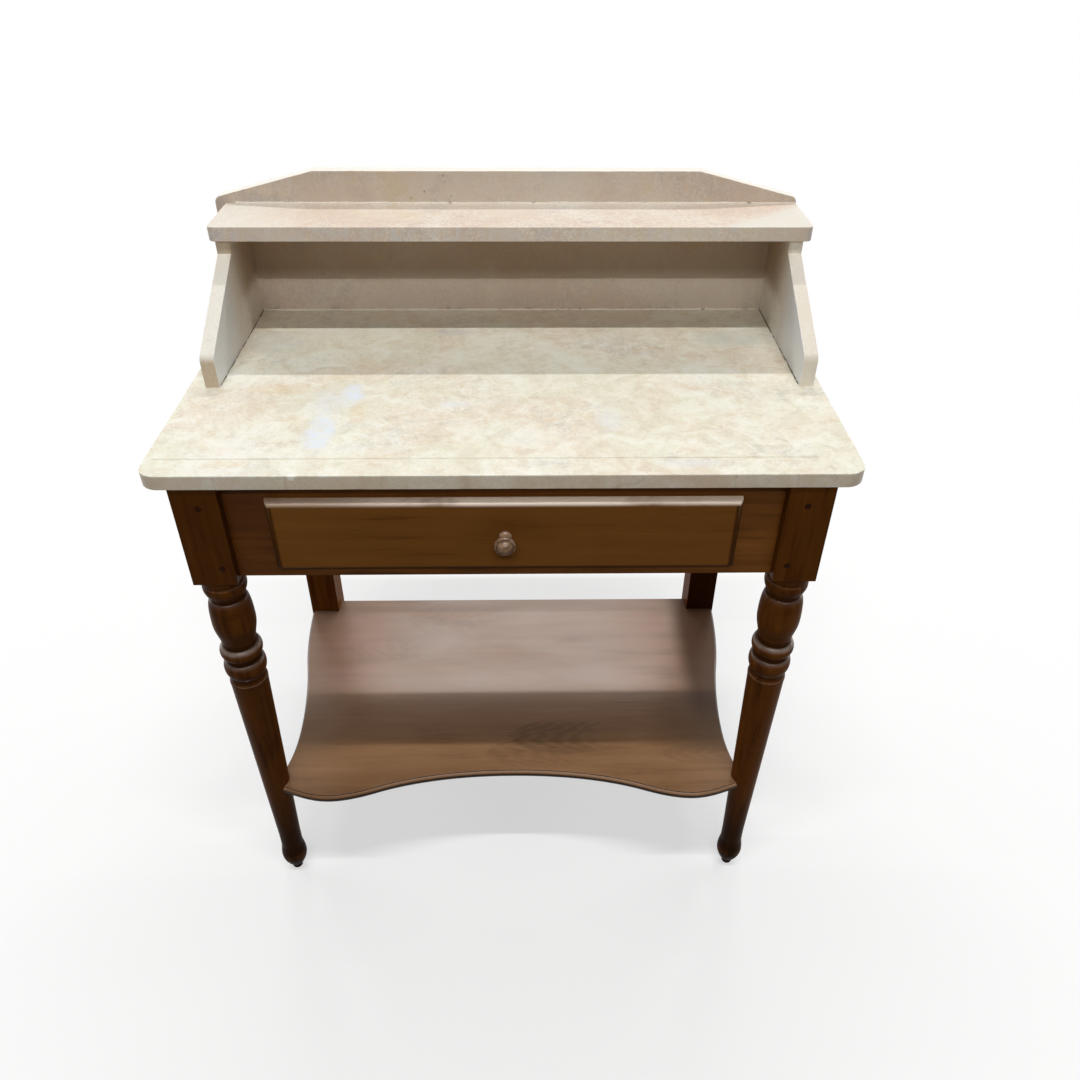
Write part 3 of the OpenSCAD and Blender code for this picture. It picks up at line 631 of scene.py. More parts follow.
@dataclass(frozen=True)
class CheekMarble(Marble):
    """The cheeks' marble: pale inner faces, a yellowed left edge, a pale right one and a painted
    highlight on the left slope.
    """

    def mark(self, paint: Paint, mottle: Tap) -> None:
        """See Marble."""
        right = paint.x.between(-0.1, 0.1)
        left = 1 - right
        inner = (paint.x * paint.across * -1).between(0.1, 0.3) * paint.y.falling(0.06, 0.15)
        paint.lay(inner * (0.65 + right * 0.3), Tone.PALE_INNER_FACE)
        edge = paint.front.falling(-0.6, -0.25) * abs(paint.across).falling(0.5, 0.9)
        slope = paint.up.between(0.1, 0.75)
        paint.lay(edge * left * (1 - slope) * 0.6, Tone.YELLOWED)
        # Painted highlight: the left cheek's slope, which looks up, is painted paler.
        paint.lay(slope * left * 0.45, Tone.SLOPE_HIGHLIGHT)
        paint.lay(edge * right * 0.7, Tone.PALE_EDGE)


@dataclass(frozen=True)
class ShelfMarble(Marble):
    """The upper shelf's marble, its right-hand end paler as far as a slanting line."""

    def mark(self, paint: Paint, mottle: Tap) -> None:
        """See Marble."""
        line = paint.x - 0.290 - (paint.y - 0.1345) * 1.24
        end = line.between(-0.008, 0.03).at_least(paint.x.falling(-0.39, -0.25) * 0.7)
        upward = paint.up.between(0.3, 0.8)
        paint.lay(end * upward * (0.5 + mottle * 0.4), Tone.PALE_END)
        paint.lay((1 - upward) * mottle.between(0.5, 0.58) * 0.4, Tone.ROUGH_EDGE)


@dataclass(frozen=True)
class Wood(Finish):
    """Walnut stain under a satin varnish, worn and marked."""

    pale: Colour = (122, 76, 32)
    middle: Colour = (110, 66, 25)
    dark: Colour = (84, 48, 16)
    grain: Axis = Axis.X
    pitch: float = 0.016
    heart: Point = (0.11, 0.07)
    figure: float = 0.16
    streaks: float = 0.9
    uneven: float = 1.1
    roughness: float = 0.34
    specular: float = 0.06
    coat: float = 1.0

    def sockets(self, paint: Paint) -> dict[str, object]:
        """See Finish."""
        parts = [paint.x, paint.y, paint.z]
        along = parts.pop(self.grain.value)
        across, deep = parts
        sway = paint.noise(9, 3, 0.5, 0.3, self.grain.factors(0.14)) - 0.5
        side = across - self.heart[0] + sway * 0.07
        depth = deep - self.heart[1] + along * 0.04
        rings = (distance(side, depth) + sway * 0.03) * (2 * math.pi / self.pitch)
        ring = rings.wave() ** 1.4
        streak = paint.noise(85, 4, 0.6, 0.0, self.grain.factors(0.07))
        fibre = paint.noise(420, 3, 0.65, 0.0, self.grain.factors(0.03))
        blotch = paint.noise(15, 4, 0.6, 0.4, self.grain.factors(0.5))
        tone = 0.5 + (ring - 0.5) * self.figure + (streak - 0.5) * self.streaks
        tone = tone + (blotch - 0.5) * self.uneven + (fibre - 0.5) * 0.5
        paint.colour = self.dark
        paint.lay(tone.between(0.15, 0.5), self.middle)
        paint.lay(tone.between(0.5, 0.85), self.pale)
        pore = fibre.between(0.6, 0.72) * streak.between(0.4, 0.6)
        paint.lay(pore * 0.4, self.dark)
        nick = paint.spots(26).falling(0.02, 0.05) * blotch.between(0.52, 0.56)
        paint.lay(nick * 0.6, self.dark)
        self.mark(paint, streak)
        hollow, crown = (paint.graph.attribute(name) for name in ("hollow", "crown"))
        # Dirt and painted shade: the hollows of the turnings and mouldings are painted dark.
        paint.lay(hollow * 0.65, Tone.HOLLOW)
        paint.lay(crown * streak.between(0.36, 0.6) * 0.35, self.pale)
        height = streak * 0.3 + fibre * 0.25 - pore * 0.4 - nick * 0.9 + blotch * 0.4
        return {
            "Base Color": paint.colour,
            "Roughness": self.roughness + (blotch - 0.5) * 0.25 + pore * 0.1 + hollow * 0.2,
            "Specular IOR Level": self.specular,
            "Specular Tint": linear(Tone.VARNISH.value),
            "Coat Weight": self.gloss(paint),
            "Coat Roughness": 0.28,
            "Normal": paint.graph.bump(height, 0.0003, 0.4),
        }

    def mark(self, paint: Paint, streak: Tap) -> None:
        """Lays the marks of one piece, broken up by the streaks; plain wood has none.

        Args:
            paint: The colour that they are laid on.
            streak: A noise along the grain that breaks them up.
        """

    def gloss(self, paint: Paint) -> Tap:
        """The weight of the varnish: it lies thick on what looks up and is rubbed thin below."""
        return paint.up.between(0.12, 0.7) * self.coat


@dataclass(frozen=True)
class LegWood(Wood):
    """The legs' wood, darker towards the foot, its turnings given a painted highlight at a height,
    reach and share.
    """

    grime: float = 0.0
    # Painted highlights on the rings: the height, reach and share of each.
    worn: tuple[Spot, ...] = (
        (0.608, 0.012, 0.3), (0.506, 0.01, 0.75), (0.478, 0.012, 0.25), (0.446, 0.005, 0.4),
    )

    def mark(self, paint: Paint, streak: Tap) -> None:
        """See Wood: painted shade blackens the face that looks forwards, and wet floors the foot.
        """
        shaded_front = paint.front.falling(-0.9, -0.4) * (0.7 + streak.between(0.3, 0.7) * 0.3)
        paint.lay(shaded_front * self.grime, Tone.GRIME)
        damp = (paint.z + (streak - 0.5) * 0.12).falling(0.02, 0.22)
        paint.lay(damp * 0.92, Tone.DAMP)
        dim = paint.x.falling(-0.3, 0.3) * paint.y.falling(-0.17, -0.12)
        paint.lay(dim * 0.25, Tone.HOLLOW)
        # Painted highlight on the upper faces of the rings.
        for high, reach, share in self.worn:
            near = paint.z.near(high, reach * 0.8, reach) * paint.up.between(0.1, 0.75)
            paint.lay(near * (0.5 + streak.between(0.3, 0.6) * 0.5) * share, Tone.RING_HIGHLIGHT)


@dataclass(frozen=True)
class RailWood(Wood):
    """The front rails' wood, darker at the left-hand end."""

    def mark(self, paint: Paint, streak: Tap) -> None:
        """See Wood."""
        dim = (paint.x + (streak - 0.5) * 0.1).falling(-0.32, -0.24)
        paint.lay(dim * 0.6, Tone.DIM_RAIL)


@dataclass(frozen=True)
class DrawerWood(Wood):
    """The drawer front's wood: a painted highlight on its upper moulding, broken into worn patches,
    and painted shade on its side mouldings.
    """

    def mark(self, paint: Paint, streak: Tap) -> None:
        """See Wood."""
        x, y, z = paint.x, paint.y, paint.z
        ahead = y.falling(-0.2235, -0.2225)
        gaps = paint.noise(34, 4, 0.55, 0.0, (0.3, 0.3, 1))
        wear = gaps.between(0.2, 0.5) * (0.38 + x.between(-0.24, -0.06) * 0.62)
        wear = wear * (1 - x.between(0.08, 0.26) * 0.16)
        # Painted highlight on the upper moulding, broken into worn patches.
        paint.lay(z.between(0.7499, 0.7556) * ahead * wear, Tone.MOULDING_HIGHLIGHT)
        # Painted shade on the side mouldings, below the upper one.
        moulding = abs(x).between(0.2745, 0.2785).at_least(y.between(-0.2327, -0.2317))
        paint.lay(moulding * z.falling(0.7495, 0.7525) * ahead * 0.75, Tone.MOULDING_SHADE)
        touched = distance(x / 1.4, z - 0.7078).falling(0.014, 0.05)
        paint.lay(touched * streak.between(0.35, 0.6) * 0.35, self.dark)


@dataclass(frozen=True)
class ShelfWood(Wood):
    """The lower shelf's wood: a painted sheen at the back, painted shade in its middle band, at its
    ends and on its lower faces, a painted highlight on its nose, and warmer along the front.

    Each arch of its figure has the x of its tip, the y of its middle, its half width and share.
    """

    arches: tuple[Blotch, ...] = (
        (-0.007, -0.124, 0.03, 0.42), (-0.045, -0.158, 0.026, 0.26), (0.235, -0.162, 0.02, 0.2),
        (-0.30, 0.085, 0.03, 0.12), (-0.2, 0.16, 0.04, 0.09),
    )

    def mark(self, paint: Paint, streak: Tap) -> None:
        """See Wood."""
        x, y, up = paint.x, paint.y, paint.up
        haze = paint.noise(9, 3, 0.55, 0.3, (0.35, 1, 1))
        fade = x.between(0.14, 0.34) * 0.8 + x.falling(-0.34, -0.06) * 0.66
        # Painted sheen at the back, laid as a pale bloom of the varnish.
        bloom = y.between(-0.06, 0.01) * (1.12 - fade)
        paint.lay(bloom * (0.3 + haze.between(0.3, 0.7) * 0.35), Tone.BLOOM)
        red = y.between(-0.03, 0.02) * abs(x + 0.02).near(0.26, 0.02, 0.09)
        paint.lay(red * haze.between(0.4, 0.6) * 0.3, Tone.REDDENED)
        # Painted shade in the middle band, which the slab and the aprons shade.
        paint.lay(y.near(-0.08, 0.02, 0.07) * 0.45, Tone.MIDDLE_BAND_SHADE)
        # Painted shade at the ends, where the rear legs shade the shelf.
        paint.lay(abs(x).between(0.24, 0.36) * y.between(-0.08, -0.02) * 0.5, Tone.WARM_END)
        paint.lay(x.between(0.284, 0.322) * y.between(-0.12, -0.04) * 0.8, Tone.RIGHT_END)
        # Painted shade: the middle band is darker still towards the ends.
        band = y.between(-0.17, -0.14) * y.falling(-0.06, 0.0)
        ends = x.between(0.2, 0.33) * 0.62 + x.falling(-0.34, -0.22) * 0.3
        paint.lay(band * ends, Tone.MIDDLE_BAND)
        paint.lay(y.falling(-0.15, -0.08) * 0.3, Tone.FRONT_BAND)
        for tip, middle, half, share in self.arches:
            behind = (x - tip) / 0.16 - ((y - middle) / half) ** 2.0 * 0.25
            arch = behind.between(0.0, 0.06) * behind.falling(0.55, 1.1)
            arch = arch * y.near(middle, half * 0.7, half * 1.3)
            bent = behind + (streak - 0.5) * 0.3 + (haze - 0.5) * 0.8
            rings = (bent * 38.0).wave() ** 0.7 * 0.7 + 0.3
            paint.lay(arch * rings * share, Tone.ARCH)
        shade = y.falling(-0.235, -0.185) * (0.34 - x.between(0.0, 0.15) * 0.2)
        shade = shade + y.falling(-0.2, -0.165) * x.falling(-0.02, 0.06) * 0.18
        paint.lay(shade, Tone.FRONT_SHADE)
        edge = up.falling(0.92, 0.995) * up.between(0.3, 0.6)
        ahead = paint.front.falling(-0.2, -0.06)
        # Painted highlight on the upper part of the nose.
        paint.lay(edge * ahead * (0.06 + x.between(-0.26, -0.16) * 0.16), Tone.NOSE_HIGHLIGHT)
        # Painted shade on the edge's faces that look sideways, and on the faces that look down.
        paint.lay(edge * (1 - ahead) * 0.85, Tone.DARK_SIDE)
        paint.lay(up.falling(0.1, 0.5), Tone.UNDERSIDE)

    def gloss(self, paint: Paint) -> Tap:
        """See Wood: the varnish is whole at the back and worn off towards the front."""
        dulled = 1 - paint.x.between(0.282, 0.325) * 0.8
        dulled = dulled * (0.7 + paint.x.between(-0.34, -0.12) * 0.3)
        whole = 0.1 + paint.y.between(-0.1, 0.0) * self.coat * dulled
        return whole * paint.up.between(0.4, 0.99)


@dataclass(frozen=True)
class RawWood(Finish):
    """Unvarnished poplar inside the drawer and behind the apron, darkened by age."""

    pale: Colour = (196, 160, 116)
    dark: Colour = (128, 92, 58)
    grain: Axis = Axis.X

    def sockets(self, paint: Paint) -> dict[str, object]:
        """See Finish."""
        factors = self.grain.factors(0.06)
        bands = paint.noise(28, 4, 0.6, 0.8, factors)
        fibre = paint.noise(300, 3, 0.7, 0.0, factors)
        stain = paint.noise(8, 5, 0.65, 0.6)
        saw = paint.graph.node(
            "ShaderNodeTexWave",
            {"wave_type": "BANDS", "bands_direction": self.grain.name},
            {"Vector": paint.place, "Scale": 60.0, "Distortion": 3.0, "Detail": 2.0},
            "Fac",
        )
        paint.lay(bands.between(0.38, 0.64) * 0.75, self.dark)
        paint.lay(fibre.between(0.5, 0.66) * 0.5, self.dark)
        paint.lay(stain.between(0.52, 0.7) * 0.5, Tone.OLD_STAIN)
        return {
            "Base Color": paint.colour,
            "Roughness": 0.72 + (fibre - 0.5) * 0.3,
            "Specular IOR Level": 0.3,
            "Normal": paint.graph.bump(fibre * 0.7 + saw * 0.15 + bands * 0.3, 0.0004, 0.7),
        }


@dataclass(frozen=True)
class EndGrain(Finish):
    """The cut end of a peg, darker than the face that it is driven into."""

    def sockets(self, paint: Paint) -> dict[str, object]:
        """See Finish."""
        vessels = paint.spots(1500)
        rays = paint.noise(700, 3, 0.7)
        paint.colour = self.dark
        paint.lay(vessels.between(0.1, 0.5) * 0.6 + rays.between(0.4, 0.6) * 0.4, self.pale)
        return {
            "Base Color": paint.colour,
            "Roughness": 0.45 + (rays - 0.5) * 0.4,
            "Specular IOR Level": 0.02,
            "Normal": paint.graph.bump(vessels + rays * 0.5, 0.0003, 0.8),
        }


@dataclass(frozen=True)
class Iron(Finish):
    """Old iron, its bare metal pale and its rust dark."""

    def sockets(self, paint: Paint) -> dict[str, object]:
        """See Finish."""
        bloom = paint.noise(420, 4, 0.7)
        rusted = bloom.between(0.42, 0.56)
        paint.lay(rusted, self.dark)
        return {
            "Base Color": paint.colour,
            "Metallic": 1 - rusted * 0.9,
            "Roughness": 0.45 + rusted * 0.4,
            "Normal": paint.graph.bump(bloom, 0.0003, 0.8),
        }


@dataclass(frozen=True)
class Mortar(Finish):
    """Old plaster between the marble pieces, soiled dark in places."""

    soiled_from: float = 0.53

    def sockets(self, paint: Paint) -> dict[str, object]:
        """See Finish."""
        patches = paint.noise(38, 4, 0.65, 0.5)
        grit = paint.noise(900, 3, 0.7)
        paint.colour = self.dark
        paint.lay(patches.between(self.soiled_from - 0.05, self.soiled_from + 0.05), self.pale)
        paint.lay(grit.between(0.45, 0.62) * 0.35, self.dark)
        return {
            "Base Color": paint.colour,
            "Roughness": 0.85 + (grit - 0.5) * 0.2,
            "Specular IOR Level": 0.2,
            "Normal": paint.graph.bump(grit + patches, 0.0005, 0.9),
        }


SLAB_STONE = SlabMarble(
    "marble_slab_stone", pale=(230, 227, 207), rose=(227, 208, 187), soil_y=0.2435
)
CHEEK_STONE = CheekMarble(
    "marble_cheek_stone", pale=(228, 223, 214), rose=(222, 208, 194), grey=(206, 203, 200),
    ochre=(208, 188, 162), rose_share=0.7, soil_z=0.798, sheltered=0.75,
)
UPPER_STONE = ShelfMarble(
    "marble_upper_stone", pale=(227, 213, 197), rose=(216, 194, 177), grey=(200, 186, 178),
    rose_share=0.8, grey_share=0.5,
)
BACK_STONE = BackMarble(
    "marble_back_stone", pale=(218, 204, 188), rose=(208, 188, 172), grey=(192, 184, 174),
    white=(226, 216, 204), rose_share=0.7, soil_z=0.798, sheltered=0.6,
)
LEG_WOOD = LegWood(
    "leg_walnut", pale=(107, 62, 22), middle=(92, 52, 17), dark=(69, 35, 10), grain=Axis.Z,
    pitch=0.013, heart=(0.33, -0.24), figure=0.12, specular=0.015, coat=0.6,
)
REAR_WOOD = replace(
    LEG_WOOD, name="rear_leg_walnut", pale=(127, 77, 29), middle=(113, 67, 23), dark=(85, 45, 14),
    uneven=0.8, specular=0.006,
)
# Painted shade: the right rear leg's wood is darker, and its forward face is blackened.
SHADED_REAR_LEG_WOOD = replace(
    REAR_WOOD, name="shaded_rear_leg_walnut", pale=(106, 59, 21), middle=(91, 48, 15), grime=0.76
)
APRON_WOOD = Wood("apron_walnut")
RAIL_WOOD = RailWood("rail_walnut")
STILE_WOOD = Wood(
    "dark_stile_walnut", pale=(108, 64, 26), middle=(97, 55, 20), dark=(80, 43, 13), uneven=0.7
)
STILE_WOOD_RIGHT = Wood("stile_walnut", pale=(136, 86, 38), middle=(124, 76, 31), dark=(96, 56, 20))
SIDE_WOOD = Wood("side_apron_walnut", grain=Axis.Y)
DRAWER_WOOD = DrawerWood(
    "drawer_walnut", pale=(134, 88, 40), middle=(122, 77, 32), dark=(96, 58, 21), pitch=0.022,
    figure=0.08, streaks=0.5, uneven=0.5, specular=0.02,
)
SHELF_WOOD = ShelfWood(
    "shelf_walnut", pale=(170, 132, 98), middle=(154, 116, 84), dark=(124, 90, 64), pitch=0.03,
    heart=(-0.06, 0.12), figure=0.13, streaks=0.6, uneven=0.7, specular=0.12, coat=0.9,
)
KNOB_WOOD = Wood(
    "knob_walnut", pale=(182, 152, 126), middle=(150, 120, 95), dark=(104, 75, 52), grain=Axis.Y,
    pitch=0.006,
)
BOX_WOOD = {
    axis: RawWood(f"raw_poplar_{axis.name.lower()}", grain=axis) for axis in (Axis.X, Axis.Y)
}
PEG_END = EndGrain("peg_end_grain", pale=(54, 27, 11), dark=(28, 12, 5))
NAIL_IRON = Iron("old_iron", pale=(96, 92, 88), dark=(110, 58, 32))
PALE_MORTAR = Mortar("pale_mortar", pale=(250, 243, 230), dark=(150, 132, 110), soiled_from=0.34)
DARK_MORTAR = Mortar("soiled_mortar", pale=(214, 208, 196), dark=(92, 80, 66))


# ---------- Outlines and meshes ----------


def cubic(start: Point, leave: Point, arrive: Point, end: Point, steps: int) -> list[Point]:
    """Points of a cubic curve.

    Args:
        start: The first point.
        leave: Its handle.
        arrive: The handle of the last point.
        end: The last point.
        steps: The number of pieces between them.

    Returns:
        steps + 1 points.
    """
    points = []
    for i in range(steps + 1):
        t = i / steps
        weights = ((1 - t) ** 3, 3 * (1 - t) ** 2 * t, 3 * (1 - t) * t * t, t**3)
        four = (start, leave, arrive, end)
        points.append(tuple(sum(w * p[k] for w, p in zip(weights, four)) for k in (0, 1)))
    return points


def rounded(points: Sequence[Point], radii: Sequence[float], steps: int = 8) -> list[Point]:
    """An outline with some of its corners rounded.

    Args:
        points: The corners.
        radii: The radius at each corner, or 0.
        steps: The number of pieces in each rounding.

    Returns:
        The outline's points.
    """
    outline = []
    for i, radius in enumerate(radii):
        here = Vector(points[i])
        if radius == 0:
            outline.append(tuple(here))
            continue
        back = (Vector(points[i - 1]) - here).normalized()
        on = (Vector(points[(i + 1) % len(points)]) - here).normalized()
        half = back.angle(on) / 2
        centre = here + (back + on).normalized() * radius / math.sin(half)
        first = here + back * radius / math.tan(half) - centre
        last = here + on * radius / math.tan(half) - centre
        turn = math.atan2(first.x * last.y - first.y * last.x, first.dot(last))
        for k in range(steps + 1):
            outline.append(tuple(centre + Matrix.Rotation(turn * k / steps, 2) @ first))
    return outline


def divided(points: Sequence[Point], longest: float) -> list[Point]:
    """A closed outline with points added until no side is longer than longest.

    Args:
        points: The corners.
        longest: The longest side that stays whole.

    Returns:
        The corners and the added points.
    """
    outline = []
    for i, point in enumerate(points):
        here, there = Vector(point), Vector(points[(i + 1) % len(points)])
        count = max(1, math.ceil((there - here).length / longest))
        outline += [tuple(here.lerp(there, k / count)) for k in range(count)]
    return outline


def drawn_in(points: Sequence[Point], inset: float) -> list[Point]:
    """A closed, anticlockwise outline moved inwards by the inset, with mitred corners.

    Args:
        points: The corners.
        inset: How far they move.

    Returns:
        The moved corners.
    """
    moved = []
    for i, point in enumerate(points):
        here = Vector(point)
        before = (here - Vector(points[i - 1])).normalized()
        after = (Vector(points[(i + 1) % len(points)]) - here).normalized()
        inward = Vector((-before.y - after.y, before.x + after.x))
        inward = inward / max(0.5, inward.length_squared / 2)
        moved.append(tuple(here + inward * inset))
    return moved


def linked(name: str, data: bpy.types.ID | None) -> bpy.types.Object:
    """A new object with that data, in the scene and at the origin.

    Args:
        name: The object's name.
        data: Its mesh, lamp or camera.

    Returns:
        The object.
    """
    made = bpy.data.objects.new(name, data)
    bpy.context.scene.collection.objects.link(made)
    return made


def painted(piece: bpy.types.Object, finish: "Finish") -> None:
    """Gives a piece one finish."""
    piece.data.materials.clear()
    piece.data.materials.append(finish.material())


class Mesh:
    """A mesh under construction."""

    def __init__(self) -> None:
        """Starts with nothing but the values that the wood reads."""
        self.bm = bmesh.new()
        self.values = {name: self.bm.verts.layers.float.new(name) for name in ("hollow", "crown")}

    def loft(
        self,
        rings: Sequence[Sequence[Vector]],
        marks: Sequence[dict[str, float]] | None = None,
        base: bool = True,
    ) -> None:
        """Joins rings of points by faces and fills the last one.

        Args:
            rings: The rings, each with the same number of points.
            marks: The stored values of each ring.
            base: Whether the first ring is filled too.
        """
        made = []
        for i, ring in enumerate(rings):
            row = [self.bm.verts.new(p) for p in ring]
            for name, value in (marks[i] if marks else {}).items():
                for vertex in row:
                    vertex[self.values[name]] = value
            made.append(row)
        for low, high in zip(made, made[1:]):
            for k, vertex in enumerate(low):
                n = (k + 1) % len(low)
                self.bm.faces.new((vertex, low[n], high[n], high[k]))
        if base:
            self.bm.faces.new(list(reversed(made[0])))
        self.bm.faces.new(made[-1])

    def revolve(
        self, profile: Sequence[Point], placing: Placing, marks: Sequence[dict[str, float]],
        sides: int,
    ) -> None:
        """Turns a profile of (radius, height) points round an axis.

        Args:
            profile: The points, the first and the last off the axis.
            placing: Gives the place of (across, deep, along).
            marks: The stored values of each point.
            sides: The number of sides.
        """
        turns = [2 * math.pi * k / sides for k in range(sides)]
        rings = [[placing(r * math.cos(a), r * math.sin(a), h) for a in turns] for r, h in profile]
        self.loft(rings, marks)

    def take(self, node: str) -> None:
        """Adds a copy of a CAD node, its doubles merged and its flat faces joined.

        Args:
            node: The node's name.
        """
        self.bm.from_mesh(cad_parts[node].data)
        bmesh.ops.remove_doubles(self.bm, verts=self.bm.verts[:], dist=1e-6)
        bmesh.ops.dissolve_limit(
            self.bm, angle_limit=math.radians(0.5), verts=self.bm.verts[:], edges=self.bm.edges[:]
        )

    def cut(self, kit: Sequence[object], spot: Spot, across: Spot, drop: bool = False) -> None:
        """Cuts along a plane.

        Args:
            kit: The faces, edges and corners that may be cut.
            spot: A point of the plane.
            across: The direction across it.
            drop: Whether what lies beyond the plane goes.
        """
        bmesh.ops.bisect_plane(
            self.bm, geom=list(kit), dist=1e-7, plane_co=spot, plane_no=across, clear_outer=drop
        )

    def soften(self, width: float, picked: Callable[[bmesh.types.BMEdge], bool]) -> None:
        """Rounds the picked edges.

        Args:
            width: How much is taken off, in metres.
            picked: Tells whether an edge is rounded.
        """
        edges = [e for e in self.bm.edges if len(e.link_faces) == 2 and picked(e)]
        bmesh.ops.bevel(
            self.bm, geom=edges, offset=width, segments=2, profile=0.5, affect="EDGES",
            clamp_overlap=True,
        )

    def finish(self, name: str, outward: bool = True) -> bpy.types.Object:
        """Makes the object.

        Args:
            name: The piece's name.
            outward: Whether the faces are turned outwards first.

        Returns:
            The object, at the origin.
        """
        if outward:
            bmesh.ops.recalc_face_normals(self.bm, faces=self.bm.faces[:])
        for face in self.bm.faces:
            face.smooth = True
        data = bpy.data.meshes.new(name)
        self.bm.to_mesh(data)
        self.bm.free()
        data.set_sharp_from_angle(angle=CREASE)
        made = linked(name, data)
        even = made.modifiers.new("even_normals", "WEIGHTED_NORMAL")
        even.mode, even.keep_sharp = "FACE_AREA", True
        return made


def sharp(edge: bmesh.types.BMEdge) -> bool:
    """Whether an edge turns by more than 50 degrees, outwards."""
    return edge.calc_face_angle(0.0) > math.radians(50) and edge.is_convex


def settle(
    piece: bpy.types.Object, finish: Finish, body: Body, slot: Slot, *nodes: str
) -> None:
    """Dresses a piece, ties it to its body and hides the CAD nodes that it stands for.

    Args:
        piece: The finished mesh.
        finish: Its finish.
        body: The moving body that it rides on.
        slot: Its material slot; not used.
        nodes: The CAD nodes that it stands for.
    """
    painted(piece, finish)
    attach(piece, body.value)
    if nodes:
        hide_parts(*nodes)
    count = sum(len(p.vertices) - 2 for p in piece.data.polygons)
    LOG.info("%s: %d triangles, on %s, for %s", piece.name, count, body.value, nodes)


# ---------- Marble ----------


@dataclass
class Stone:
    """One piece of marble: an outline with worn arrises, which stands for a CAD node."""

    node: str
    piece: str
    finish: Marble
    thickness: float
    arris: float = 1.0
    wear: float = 0.3
    step: float = 8.0
    seed: float = 0.0

    def heights(self) -> list[Spot]:
        """Inset, height and wear of each ring, from the lower face to the upper one.

        Returns:
            The rings, in millimetres, their wear from 0 to 1.
        """
        r, t, reach = self.arris, self.thickness, self.arris * 2.2
        turns = [math.radians(22.5 * k) for k in range(5)]
        low = [(r * (1 - math.sin(a)), r * (1 - math.cos(a)), 1.0) for a in turns]
        high = [(r * (1 - math.cos(a)), t - r * (1 - math.sin(a)), 1.0) for a in turns]
        return [(reach, 0, 0.0), *low, (0, t / 2, 0.0), *high, (reach, t, 0.0)]

    def cut(self, outline: Sequence[Point], placing: Placing) -> Mesh:
        """Cuts the piece.

        Args:
            outline: Its anticlockwise outline, in millimetres.
            placing: Gives the place, in millimetres, of a point and its height.

        Returns:
            The mesh, in metres.
        """
        mesh, fine = Mesh(), divided(outline, self.step)
        rings = []
        for inset, height, worn in self.heights():
            ring = []
            for point, inner in zip(drawn_in(fine, inset), drawn_in(fine, inset + 1.0)):
                spot = Vector((point[0], point[1], height + self.seed)) / 26
                loss = worn * self.wear * max(0.0, noise.noise(spot) + 0.25)
                step = (Vector(inner) - Vector(point)) * loss
                ring.append(placing(point[0] + step.x, point[1] + step.y, height) * MM)
            rings.append(ring)
        mesh.loft(rings)
        return mesh

    def lay(self, mesh: Mesh) -> None:
        """Finishes the mesh and lays it in the place of its node."""
        settle(mesh.finish(self.piece), self.finish, Body.TABLE, Slot.MARBLE, self.node)


